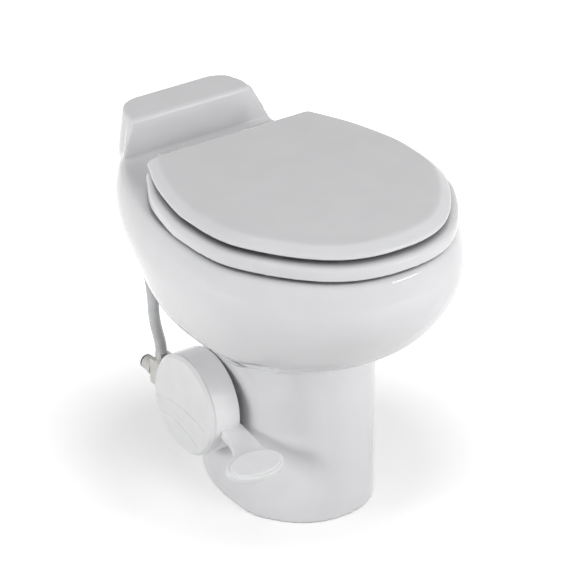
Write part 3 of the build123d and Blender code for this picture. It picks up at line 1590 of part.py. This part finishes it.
spigot_low_z = float_low_z + float_height + float_travel + soft_gap
with BuildPart() as breaker_cap:
    with BuildSketch(Plane.XY.offset(breaker_high)):
        with Locations((breaker_x, breaker_y)):
            Circle(breaker_cap_radius)
    extrude(amount=breaker_cap_height)
    fillet(breaker_cap.edges().group_by(Axis.Z)[-1], drum_edge_radius)
    with BuildSketch(Plane.XY.offset(breaker_high)):
        with Locations((breaker_x, breaker_y)):
            Circle(breaker_radius - breaker_wall - running_gap)
    extrude(amount=-breaker_wall)
    with BuildSketch(Plane.XY.offset(spigot_low_z)):
        with Locations((breaker_x, breaker_y)):
            Circle(breaker_cap_spigot)
    extrude(amount=breaker_high - spigot_low_z)
    with BuildSketch(Plane.XY.offset(spigot_low_z)):
        with Locations((breaker_x, breaker_y)):
            with PolarLocations(breaker_vent_circle, breaker_vent_count):
                Circle(breaker_vent_radius)
    extrude(amount=breaker_high + breaker_cap_height - spigot_low_z, mode=Mode.SUBTRACT)
write(breaker_cap, "breaker_cap")

with BuildPart() as breaker_float:
    with BuildSketch(Plane.XY.offset(float_low_z)):
        with Locations((breaker_x, breaker_y)):
            Circle(float_radius)
    extrude(amount=float_height)
write(breaker_float, "breaker_float")

nozzle_end_y = breaker_socket_end_y + breaker_wall
with BuildPart() as rim_nozzle:
    with BuildSketch(Plane.XZ.offset(-nozzle_end_y)):
        with Locations((breaker_x, nozzle_z)):
            Circle(nozzle_radius)
    extrude(amount=nozzle_end_y - nozzle_front_y)
    with BuildSketch(Plane.XZ.offset(-nozzle_end_y)):
        with Locations((breaker_x, nozzle_z)):
            Circle(nozzle_bore)
    extrude(amount=nozzle_end_y - nozzle_front_y - nozzle_lip_thickness, mode=Mode.SUBTRACT)
    with BuildSketch(Plane.XY.offset(nozzle_z)):
        with Locations((breaker_x, nozzle_front_y + nozzle_lip_thickness + nozzle_mouth_length / 2)):
            Rectangle(2 * nozzle_bore, nozzle_mouth_length)
    extrude(amount=-nozzle_radius, mode=Mode.SUBTRACT)
write(rim_nozzle, "rim_nozzle")

with BuildPart() as nozzle_grommet:
    with BuildSketch(Plane.XZ.offset(-grommet_back_y - grommet_lip)):
        with Locations((breaker_x, nozzle_z)):
            Circle(grommet_radius)
    extrude(amount=grommet_lip)
    with BuildSketch(Plane.XZ.offset(-grommet_back_y)):
        with Locations((breaker_x, nozzle_z)):
            Circle(grommet_radius - grommet_lip - running_gap)
    extrude(amount=grommet_back_y - grommet_front_y)
    with BuildSketch(Plane.XZ.offset(-grommet_back_y - grommet_lip)):
        with Locations((breaker_x, nozzle_z)):
            Circle(nozzle_radius + running_gap)
    extrude(amount=grommet_back_y + grommet_lip - grommet_front_y, mode=Mode.SUBTRACT)
write(nozzle_grommet, "nozzle_grommet")
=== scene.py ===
import json
import math

import bpy
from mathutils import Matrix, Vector


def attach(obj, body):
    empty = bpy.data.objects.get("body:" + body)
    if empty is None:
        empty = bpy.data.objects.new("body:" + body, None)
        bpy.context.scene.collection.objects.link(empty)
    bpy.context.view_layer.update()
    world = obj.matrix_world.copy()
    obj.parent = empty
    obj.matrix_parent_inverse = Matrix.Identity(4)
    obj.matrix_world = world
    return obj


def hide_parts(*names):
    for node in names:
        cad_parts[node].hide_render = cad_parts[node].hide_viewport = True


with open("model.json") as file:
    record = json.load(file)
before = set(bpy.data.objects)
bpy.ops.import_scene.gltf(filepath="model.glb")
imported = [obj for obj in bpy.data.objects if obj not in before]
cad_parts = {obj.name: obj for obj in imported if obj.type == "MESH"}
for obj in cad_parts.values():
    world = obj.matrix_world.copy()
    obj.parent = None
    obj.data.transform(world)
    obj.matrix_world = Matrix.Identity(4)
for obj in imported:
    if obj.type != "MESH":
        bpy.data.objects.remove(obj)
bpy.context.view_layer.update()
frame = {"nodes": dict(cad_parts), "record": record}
bpy.ops.object.select_all(action="DESELECT")

MM = 0.001

# Points of a copied mesh closer than this are one point
MERGE_GAP_MM = 0.02
# A piece with more triangles than this is thinned
MOST_TRIANGLES = 185000

body_of = {}
for body, nodes in frame["record"]["behaviour"]["bodies"].items():
    for node in nodes:
        body_of[node] = body


# Colour and materials

# The sRGB curve: straight up to the knee, then a power
SRGB_KNEE = 0.04045
SRGB_SLOPE = 12.92
SRGB_OFFSET = 0.055
SRGB_POWER = 2.4


def linear(code):
    """Linear colour with alpha of an sRGB hex value."""
    parts = [int(code[i : i + 2], 16) / 255 for i in (0, 2, 4)]
    return [
        p / SRGB_SLOPE if p <= SRGB_KNEE else ((p + SRGB_OFFSET) / (1 + SRGB_OFFSET)) ** SRGB_POWER
        for p in parts
    ] + [1.0]


def put(tree, kind, settings=None, **links):
    """Adds one node, fills in its settings and joins the given outputs to its inputs."""
    made = tree.nodes.new(kind)
    for key, value in (settings or {}).items():
        if key in made.inputs:
            made.inputs[key].default_value = value
        else:
            setattr(made, key, value)
    for key, source in links.items():
        tree.links.new(source, made.inputs[key.replace("_", " ")])
    return made


def start_material(name):
    """Empty material with its surface shader and object coordinates in metres."""
    made = bpy.data.materials.new(name)
    made.use_nodes = True
    tree = made.node_tree
    tree.nodes.clear()
    surface = put(tree, "ShaderNodeBsdfPrincipled")
    output = put(tree, "ShaderNodeOutputMaterial")
    tree.links.new(surface.outputs["BSDF"], output.inputs["Surface"])
    place = put(tree, "ShaderNodeTexCoord").outputs["Object"]
    return made, tree, surface, place


# Noise values between which a pattern goes from its dark to its light shade
PATTERN_DARK = 0.35
PATTERN_LIGHT = 0.65


def shade_between(tree, amount, low, high, start=PATTERN_DARK, end=PATTERN_LIGHT):
    """Colour that goes from low to high as an amount goes from start to end."""
    ramp = put(tree, "ShaderNodeValToRGB")
    ramp.color_ramp.elements[0].position = start
    ramp.color_ramp.elements[1].position = end
    ramp.color_ramp.elements[0].color = linear(low)
    ramp.color_ramp.elements[1].color = linear(high)
    tree.links.new(amount, ramp.inputs["Fac"])
    return ramp.outputs["Color"]


def finish_surface(tree, surface, pattern, relief, gloss_low, gloss_high, depth_mm):
    """Gloss that follows the pattern between two roughness values, and relief of the given depth."""
    uneven = put(tree, "ShaderNodeMapRange", {"To Min": gloss_low, "To Max": gloss_high}, Value=pattern)
    tree.links.new(uneven.outputs["Result"], surface.inputs["Roughness"])
    bump = put(tree, "ShaderNodeBump", {"Strength": 1.0, "Distance": depth_mm * MM}, Height=relief)
    tree.links.new(bump.outputs["Normal"], surface.inputs["Normal"])


# Painted shade: the colour painted at the bottom of a joint, and how open a spot is where the painted shade
# starts and ends
PAINTED_GAP_SHADE = "3A3638"
PAINTED_SHADE_CLOSED = 0.06
PAINTED_SHADE_OPEN = 0.46
PAINTED_SHADE_SAMPLES = 8


def painted_shade_in_gaps(tree, tone, shade_gap_mm):
    """The tone with painted shade inside joints narrower than the given gap width, standing in for the light
    a glossy panel loses there.
    """
    # Ambient occlusion decides where shade is painted into the base colour
    closeness = put(tree, "ShaderNodeAmbientOcclusion", {"samples": PAINTED_SHADE_SAMPLES, "Distance": shade_gap_mm * MM})
    depth = shade_between(tree, closeness.outputs["AO"], PAINTED_GAP_SHADE, "FFFFFF", PAINTED_SHADE_CLOSED, PAINTED_SHADE_OPEN)
    tone_with_painted_shade = put(tree, "ShaderNodeMix", {"data_type": "RGBA", "blend_type": "MULTIPLY"})
    tone_with_painted_shade.inputs["Factor"].default_value = 1.0
    first_colour, second_colour = [s for s in tone_with_painted_shade.inputs if s.type == "RGBA"]
    tree.links.new(tone, first_colour)
    tree.links.new(depth, second_colour)
    return next(s for s in tone_with_painted_shade.outputs if s.type == "RGBA")


PATCH_DETAIL = 3.0
SKIN_DETAIL = 2.0


def moulded(name, light, dark, patch_mm, gloss, gloss_swing, skin_mm, skin_depth_mm, shade_gap_mm=None, **sockets):
    """Hard or soft material with faint patches, uneven gloss and a fine skin, scaled in millimetres; given a
    gap width, it also gets painted shade in joints.
    """
    made, tree, surface, place = start_material(name)
    patches = put(
        tree, "ShaderNodeTexNoise", {"Scale": 1 / (patch_mm * MM), "Detail": PATCH_DETAIL}, Vector=place
    )
    skin = put(tree, "ShaderNodeTexNoise", {"Scale": 1 / (skin_mm * MM), "Detail": SKIN_DETAIL}, Vector=place)
    tone = shade_between(tree, patches.outputs["Fac"], dark, light)
    # Painted shade in joints and crevices, mixed into the base colour
    if shade_gap_mm:
        tone = painted_shade_in_gaps(tree, tone, shade_gap_mm)
    tree.links.new(tone, surface.inputs["Base Color"])
    finish_surface(
        tree,
        surface,
        patches.outputs["Fac"],
        skin.outputs["Fac"],
        gloss - gloss_swing,
        gloss + gloss_swing,
        skin_depth_mm,
    )
    for socket, value in sockets.items():
        surface.inputs[socket.replace("_", " ")].default_value = value
    return made


LINE_DETAIL = 4.0
# How much smoother and rougher than its middle value a drawn line is
LINE_SMOOTHER = 0.06
LINE_ROUGHER = 0.08


def brushed(name, light, dark, line_mm, line_length_mm, gloss, depth_mm):
    """Drawn or brushed metal: fine lines along Z, with a slight change of tone and gloss between them."""
    made, tree, surface, place = start_material(name)
    across = 1 / (line_mm * MM)
    stretch = put(
        tree, "ShaderNodeMapping", {"Scale": (across, across, 1 / (line_length_mm * MM))}, Vector=place
    )
    lines = put(
        tree, "ShaderNodeTexNoise", {"Scale": 1.0, "Detail": LINE_DETAIL}, Vector=stretch.outputs["Vector"]
    )
    pattern = lines.outputs["Fac"]
    tree.links.new(shade_between(tree, pattern, dark, light), surface.inputs["Base Color"])
    finish_surface(tree, surface, pattern, pattern, gloss - LINE_SMOOTHER, gloss + LINE_ROUGHER, depth_mm)
    surface.inputs["Metallic"].default_value = 1.0
    return made


finishes = {
    # Vitreous china, glazed and fired: a wet, even gloss over a faintly wavy surface
    "china": moulded(
        "glazed vitreous china",
        light="EFEFF1",
        dark="ECECEE",
        patch_mm=70,
        gloss=0.09,
        gloss_swing=0.015,
        skin_mm=22,
        skin_depth_mm=0.10,
        # Painted shade darkens the glaze's colour inside joints up to 16 mm wide
        shade_gap_mm=16,
        IOR=1.52,
        Coat_Weight=0.3,
        Coat_Roughness=0.04,
    ),
    # Moulded wood under baked white enamel: gloss with a slight orange peel from the spray
    "enamel": moulded(
        "baked enamel on moulded wood",
        light="EEEEF0",
        dark="EBEBED",
        patch_mm=55,
        gloss=0.13,
        gloss_swing=0.02,
        skin_mm=4.5,
        skin_depth_mm=0.012,
        # Painted shade darkens the enamel's colour inside joints up to 16 mm wide
        shade_gap_mm=16,
        IOR=1.5,
        Coat_Weight=0.2,
        Coat_Roughness=0.07,
    ),
    # Injection-moulded ABS: even gloss from a polished tool, with a slight flow unevenness
    "white_abs": moulded(
        "gloss white ABS",
        light="F8F8F9",
        dark="F5F5F6",
        patch_mm=26,
        gloss=0.17,
        gloss_swing=0.03,
        skin_mm=1.6,
        skin_depth_mm=0.006,
        IOR=1.54,
    ),
    # Injection-moulded polypropylene: softer, waxy satin
    "white_pp": moulded(
        "satin white polypropylene",
        light="E9E9E7",
        dark="E4E4E1",
        patch_mm=18,
        gloss=0.36,
        gloss_swing=0.05,
        skin_mm=1.2,
        skin_depth_mm=0.010,
        IOR=1.49,
    ),
    # Uncoloured polypropylene: milky, waxy and slightly warm
    "natural_pp": moulded(
        "natural polypropylene",
        light="E3E2DE",
        dark="DAD9D4",
        patch_mm=22,
        gloss=0.42,
        gloss_swing=0.06,
        skin_mm=1.4,
        skin_depth_mm=0.015,
        IOR=1.49,
    ),
    # Acetal machined or moulded for gears and bearings: dense and faintly creamy
    "acetal": moulded(
        "moulded acetal",
        light="E4E1D9",
        dark="DDD9CF",
        patch_mm=14,
        gloss=0.33,
        gloss_swing=0.04,
        skin_mm=1.0,
        skin_depth_mm=0.008,
        IOR=1.48,
    ),
    # EPDM rubber, pressed: dull black with a fine bloom
    "black_rubber": moulded(
        "pressed black rubber",
        light="262626",
        dark="1A1A1A",
        patch_mm=9,
        gloss=0.72,
        gloss_swing=0.08,
        skin_mm=0.9,
        skin_depth_mm=0.030,
        IOR=1.5,
    ),
    # Grey rubber washers: dull, slightly dusty
    "grey_rubber": moulded(
        "pressed grey rubber",
        light="949492",
        dark="868684",
        patch_mm=9,
        gloss=0.68,
        gloss_swing=0.08,
        skin_mm=0.9,
        skin_depth_mm=0.030,
        IOR=1.5,
    ),
    # Plasticised PVC: soft, slightly milky tube with an even sheen
    "white_pvc": moulded(
        "flexible white vinyl",
        light="D9DADB",
        dark="D1D2D3",
        patch_mm=16,
        gloss=0.26,
        gloss_swing=0.05,
        skin_mm=2.0,
        skin_depth_mm=0.012,
        IOR=1.53,
    ),
    # Stainless sheet and bar, drawn: fine parallel lines
    "steel": brushed(
        "drawn stainless steel",
        light="C4C4C2",
        dark="A9A9A8",
        line_mm=0.4,
        line_length_mm=12,
        gloss=0.28,
        depth_mm=0.004,
    ),
    # Stainless spring wire: drawn smooth, brighter along its length
    "spring_steel": brushed(
        "stainless spring wire",
        light="B8B8B8",
        dark="9C9C9D",
        line_mm=0.3,
        line_length_mm=6,
        gloss=0.24,
        depth_mm=0.003,
    ),
    # Bright zinc plate over steel
    "zinc": brushed(
        "bright zinc plate",
        light="C9CBCC",
        dark="B3B5B8",
        line_mm=0.6,
        line_length_mm=5,
        gloss=0.30,
        depth_mm=0.004,
    ),
}

# Every CAD piece takes the finish of its slot
for part in frame["record"]["subparts"]:
    for cad_slot in frame["nodes"][part["node"]].material_slots:
        cad_slot.material = finishes[part["material_slot"]]


# Modelling steps that several pieces share


def only(made):
    """Selects this object alone and makes it the active one."""
    bpy.ops.object.select_all(action="DESELECT")
    made.select_set(True)
    bpy.context.view_layer.objects.active = made


def open_whole(made):
    """Edit mode on this object alone, with all of its mesh selected."""
    only(made)
    bpy.ops.object.mode_set(mode="EDIT")
    bpy.ops.mesh.select_all(action="SELECT")


def close():
    """Back to object mode."""
    bpy.ops.object.mode_set(mode="OBJECT")


def new_object(name, data):
    """Object in the scene for a mesh, curve, lamp or camera."""
    made = bpy.data.objects.new(name, data)
    bpy.context.scene.collection.objects.link(made)
    return made


def merged_copy(node, name):
    """Merged copy of a CAD node's mesh, as a new object."""
    made = new_object(name, frame["nodes"][node].data.copy())
    open_whole(made)
    bpy.ops.mesh.remove_doubles(threshold=MERGE_GAP_MM * MM)
    close()
    return made


def combine(made, operation, other):
    """Boolean of a piece with another shape, which is used up."""
    step = made.modifiers.new(operation, "BOOLEAN")
    step.operation = operation
    step.object = other
    only(made)
    bpy.ops.object.modifier_apply(modifier=operation)
    bpy.data.objects.remove(other)


def cut_level(made, height, keep_below):
    """Cuts a piece level at a height in metres, closes the cut and keeps one side."""
    open_whole(made)
    bpy.ops.mesh.bisect(
        plane_co=(0, 0, height),
        plane_no=(0, 0, 1),
        use_fill=True,
        clear_outer=keep_below,
        clear_inner=not keep_below,
    )
    close()


def join(made, other):
    """Makes the other object's mesh a part of this one."""
    only(made)
    other.select_set(True)
    bpy.ops.object.join()


def undercut(made, rise_mm, share):
    """Sets a panel's lower edge back all round, so that a shadow gap shows under its rim."""
    depths = [point.co.y for point in made.data.vertices]
    middle = (0, (min(depths) + max(depths)) / 2, 0)
    lowest = min(point.co.z for point in made.data.vertices)
    foot = new_object("foot", made.data.copy())
    inner = new_object("inner", made.data.copy())
    open_whole(inner)
    bpy.ops.transform.resize(value=(share, share, 1), center_override=middle)
    close()
    combine(foot, "INTERSECT", inner)
    cut_level(made, lowest + rise_mm * MM, keep_below=False)
    join(made, foot)


RELAX_STRENGTH = 0.5


def cast_finish(made, node, slot, voxel_mm, rounds):
    """Rolled edges of a cast or enamelled surface on a fine even mesh, set in the node's place."""
    only(made)
    even = made.modifiers.new("even mesh", "REMESH")
    even.mode = "VOXEL"
    even.voxel_size = voxel_mm * MM
    bpy.ops.object.modifier_apply(modifier="even mesh")
    relax = made.modifiers.new("relaxed edges", "SMOOTH")
    relax.factor = RELAX_STRENGTH
    relax.iterations = rounds
    bpy.ops.object.modifier_apply(modifier="relaxed edges")
    made.data.calc_loop_triangles()
    triangles = len(made.data.loop_triangles)
    if triangles > MOST_TRIANGLES:
        thinner = made.modifiers.new("thinner mesh", "DECIMATE")
        thinner.ratio = MOST_TRIANGLES / triangles
        bpy.ops.object.modifier_apply(modifier="thinner mesh")
    bpy.ops.object.shade_smooth()
    made.data.materials.clear()
    made.data.materials.append(finishes[slot])
    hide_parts(node)
    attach(made, body_of[node])


# China: the raised back above this height is cast again with straight sides, over the same hollow
back_cut_mm = 437.0
corner_steps = 8
back_levels_mm = [
    # height at the front, rise to the back, front, back, half width at the front, at the back, corner radius
    (424.0, 0.0, 161.0, 226.0, 125.0, 111.0, 50.0),
    (436.0, 0.0, 161.4, 227.5, 123.0, 109.5, 49.0),
    (450.0, 0.0, 164.5, 228.0, 117.0, 106.0, 46.0),
    (470.0, 0.0, 169.0, 228.0, 107.0, 101.0, 42.0),
    (485.5, 5.0, 172.5, 227.5, 99.0, 97.0, 39.0),
]
hollow_low_mm = (-72.0, 172.0, 425.0)
hollow_high_mm = (72.0, 207.0, 474.0)


def back_outline(height, rise, front, back, half_front, half_back, corner):
    """Outline of the raised back in plan: straight front, leaning sides and round back corners, in mm."""
    points = [(-half_front, front, height)]
    for step in range(corner_steps + 1):
        turn = math.pi / 2 * step / corner_steps
        y = back - corner + corner * math.sin(turn)
        x = -half_back + corner - corner * math.cos(turn)
        points.append((x, y, height + rise * (y - front) / (back - front)))
    return points + [(-x, y, z) for x, y, z in reversed(points)]


def raised_back():
    """Closed block through the outlines, one above the other."""
    rings = [back_outline(*level) for level in back_levels_mm]
    count = len(rings[0])
    walls = []
    for ring in range(len(rings) - 1):
        for here in range(count):
            after = (here + 1) % count
            low, high = ring * count, (ring + 1) * count
            walls.append((low + here, low + after, high + after, high + here))
    bottom = tuple(reversed(range(count)))
    top = tuple((len(rings) - 1) * count + here for here in range(count))
    mesh = bpy.data.meshes.new("raised_back")
    mesh.from_pydata([[c * MM for c in point] for ring in rings for point in ring], [], walls + [bottom, top])
    made = new_object("raised_back", mesh)
    open_whole(made)
    bpy.ops.mesh.normals_make_consistent(inside=False)
    close()
    return made


def hollow_block():
    """Box for the hollow that the vacuum breaker stands in."""
    middle = [(low + high) / 2 * MM for low, high in zip(hollow_low_mm, hollow_high_mm)]
    bpy.ops.object.select_all(action="DESELECT")
    bpy.ops.mesh.primitive_cube_add(size=1, location=middle)
    made = bpy.context.object
    made.scale = [(high - low) * MM for low, high in zip(hollow_low_mm, hollow_high_mm)]
    bpy.ops.object.transform_apply(location=True, rotation=False, scale=True)
    return made


china = merged_copy("china_body", "china_casting")
cut_level(china, back_cut_mm * MM, keep_below=True)
back = raised_back()
combine(back, "DIFFERENCE", hollow_block())
join(china, back)
cast_finish(china, "china_body", "china", voxel_mm=2.6, rounds=6)

# Lid: the enamel is thick on a rolled rim
lid = merged_copy("seat_lid", "lid_panel")
undercut(lid, rise_mm=4.0, share=0.86)
cast_finish(lid, "seat_lid", "enamel", voxel_mm=1.9, rounds=18)

# Seat: the same roll round its outer rim and its opening
seat = merged_copy("seat_ring", "seat_panel")
undercut(seat, rise_mm=4.0, share=0.88)
cast_finish(seat, "seat_ring", "enamel", voxel_mm=1.8, rounds=10)

# Supply hose: leaves the valve's barb upwards, swings out past the bowl and goes up into the breaker
hose_points_mm = [
    (-107, 96, 151.2),
    (-107, 96, 172),
    (-131, 77, 228),
    (-134, 74, 272),
    (-112, 125, 306),
    (-64, 171, 304),
    (-36, 175, 322),
    (-36, 175, 365.8),
]
hose_diameter_mm = 16.0
hose_steps_along = 24
hose_steps_round = 10
hose_order = 3

hose_line = bpy.data.curves.new("supply_line", "CURVE")
hose_line.dimensions = "3D"
run = hose_line.splines.new("NURBS")
run.points.add(len(hose_points_mm) - 1)
for knot, (x, y, z) in zip(run.points, hose_points_mm):
    knot.co = (x * MM, y * MM, z * MM, 1.0)
run.order_u = hose_order
run.use_endpoint_u = True
run.resolution_u = hose_steps_along
hose_line.bevel_depth = hose_diameter_mm / 2 * MM
hose_line.bevel_resolution = hose_steps_round
hose_line.use_fill_caps = True
hose_line.materials.append(finishes["white_pvc"])
hose = new_object("supply_line", hose_line)
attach(hose, body_of["supply_hose"])
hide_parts("supply_hose")

bpy.context.scene.view_settings.view_transform = "Standard"

# Camera at the photographed angle
lens_mm = 243.1
sensor_mm = 36.0
camera_reach = 50.0
camera_place_mm = Vector((-2681.58, -3911.75, 2811.34))
camera_aim_mm = Vector((-30.35, -106.19, 324.63))

lens = bpy.data.cameras.new("camera")
lens.lens = lens_mm
lens.sensor_width = sensor_mm
lens.clip_end = camera_reach
camera = new_object("camera", lens)
camera.location = camera_place_mm * MM
camera.rotation_euler = (camera_aim_mm * MM - camera.location).to_track_quat("-Z", "Y").to_euler()
bpy.context.scene.camera = camera

# Pale floor that keeps the shadow, and white behind everything, with lengths in metres
floor_half = 12.0
floor_shade = "D6D6D6"
# The floor's own glow is weak up to glow_near, where the shadow lies, and white from glow_far outwards
glow_at_object = 0.50
glow_near = 0.22
glow_far = 0.52
# Light that the white surroundings cast on the object, and the level at which they look white
sky_level = 0.20
white_level = 1.0


def background_rays(tree):
    """1 for rays that show the background: the camera's own, and those in gloss and glass."""
    ray = put(tree, "ShaderNodeLightPath")
    direct = put(tree, "ShaderNodeMath", {"operation": "MAXIMUM"})
    tree.links.new(ray.outputs["Is Camera Ray"], direct.inputs[0])
    tree.links.new(ray.outputs["Is Glossy Ray"], direct.inputs[1])
    through = put(tree, "ShaderNodeMath", {"operation": "MAXIMUM"})
    tree.links.new(direct.outputs["Value"], through.inputs[0])
    tree.links.new(ray.outputs["Is Transmission Ray"], through.inputs[1])
    return through.outputs["Value"]


def white_paper():
    """Matte paper that takes the object's shadow, with a glow that grows with the distance from it."""
    made = bpy.data.materials.new("matte white paper")
    made.use_nodes = True
    tree = made.node_tree
    tree.nodes.clear()
    matte = put(tree, "ShaderNodeBsdfDiffuse", {"Color": linear(floor_shade)})
    spot = put(tree, "ShaderNodeTexCoord").outputs["Object"]
    away = put(tree, "ShaderNodeVectorMath", {"operation": "LENGTH"})
    tree.links.new(spot, away.inputs[0])
    spread = put(
        tree,
        "ShaderNodeMapRange",
        {"From Min": glow_near, "From Max": glow_far, "To Min": glow_at_object, "To Max": white_level},
        Value=away.outputs["Value"],
    )
    level = put(tree, "ShaderNodeMath", {"operation": "MULTIPLY"})
    tree.links.new(spread.outputs["Result"], level.inputs[0])
    tree.links.new(background_rays(tree), level.inputs[1])
    glow = put(tree, "ShaderNodeEmission", {"Color": linear("FFFFFF")}, Strength=level.outputs["Value"])
    both = put(tree, "ShaderNodeAddShader")
    tree.links.new(matte.outputs["BSDF"], both.inputs[0])
    tree.links.new(glow.outputs["Emission"], both.inputs[1])
    out = put(tree, "ShaderNodeOutputMaterial")
    tree.links.new(both.outputs["Shader"], out.inputs["Surface"])
    return made


bpy.ops.object.select_all(action="DESELECT")
bpy.ops.mesh.primitive_plane_add(size=2 * floor_half, location=(0, 0, 0))
floor = bpy.context.object
floor.name = "floor"
floor.data.materials.append(white_paper())

# World: a soft even light on the object, and white where it is seen
world = bpy.data.worlds.new("studio")
bpy.context.scene.world = world
world.use_nodes = True
world_tree = world.node_tree
world_tree.nodes.clear()
world_level = put(
    world_tree,
    "ShaderNodeMapRange",
    {"To Min": sky_level, "To Max": white_level},
    Value=background_rays(world_tree),
)
sky = put(
    world_tree,
    "ShaderNodeBackground",
    {"Color": linear("FFFFFF")},
    Strength=world_level.outputs["Result"],
)
world_output = put(world_tree, "ShaderNodeOutputWorld")
world_tree.links.new(sky.outputs["Background"], world_output.inputs["Surface"])

# Studio lamps, in metres and watts, which all face the middle of the object
lamp_aim = Vector((0, -0.03, 0.25))


def soft_box(name, place, width, height, power, shows=False):
    """Rectangular lamp that faces the object; only one that shows is mirrored in the glaze."""
    lamp = bpy.data.lights.new(name, "AREA")
    lamp.shape = "RECTANGLE"
    lamp.size = width
    lamp.size_y = height
    lamp.energy = power
    holder = new_object(name, lamp)
    holder.location = place
    holder.rotation_euler = (lamp_aim - Vector(place)).to_track_quat("-Z", "Y").to_euler()
    holder.visible_glossy = shows


soft_box("front fill", place=(-1.2, -2.6, 0.9), width=1.0, height=1.0, power=3)
soft_box("left softbox", place=(-2.9, 0.4, 0.7), width=0.9, height=0.9, power=28)
soft_box("right key", place=(1.0, -2.6, 1.0), width=1.4, height=1.4, power=25)
soft_box("right strip", place=(1.5, -2.4, 1.5), width=0.9, height=0.14, power=7, shows=True)
soft_box("high front", place=(-0.2, -2.4, 2.3), width=1.0, height=1.0, power=8)
soft_box("top fill", place=(-0.2, -0.5, 2.8), width=2.0, height=2.0, power=14)
soft_box("back fill", place=(-2.5, 1.0, 1.2), width=1.4, height=1.4, power=5)
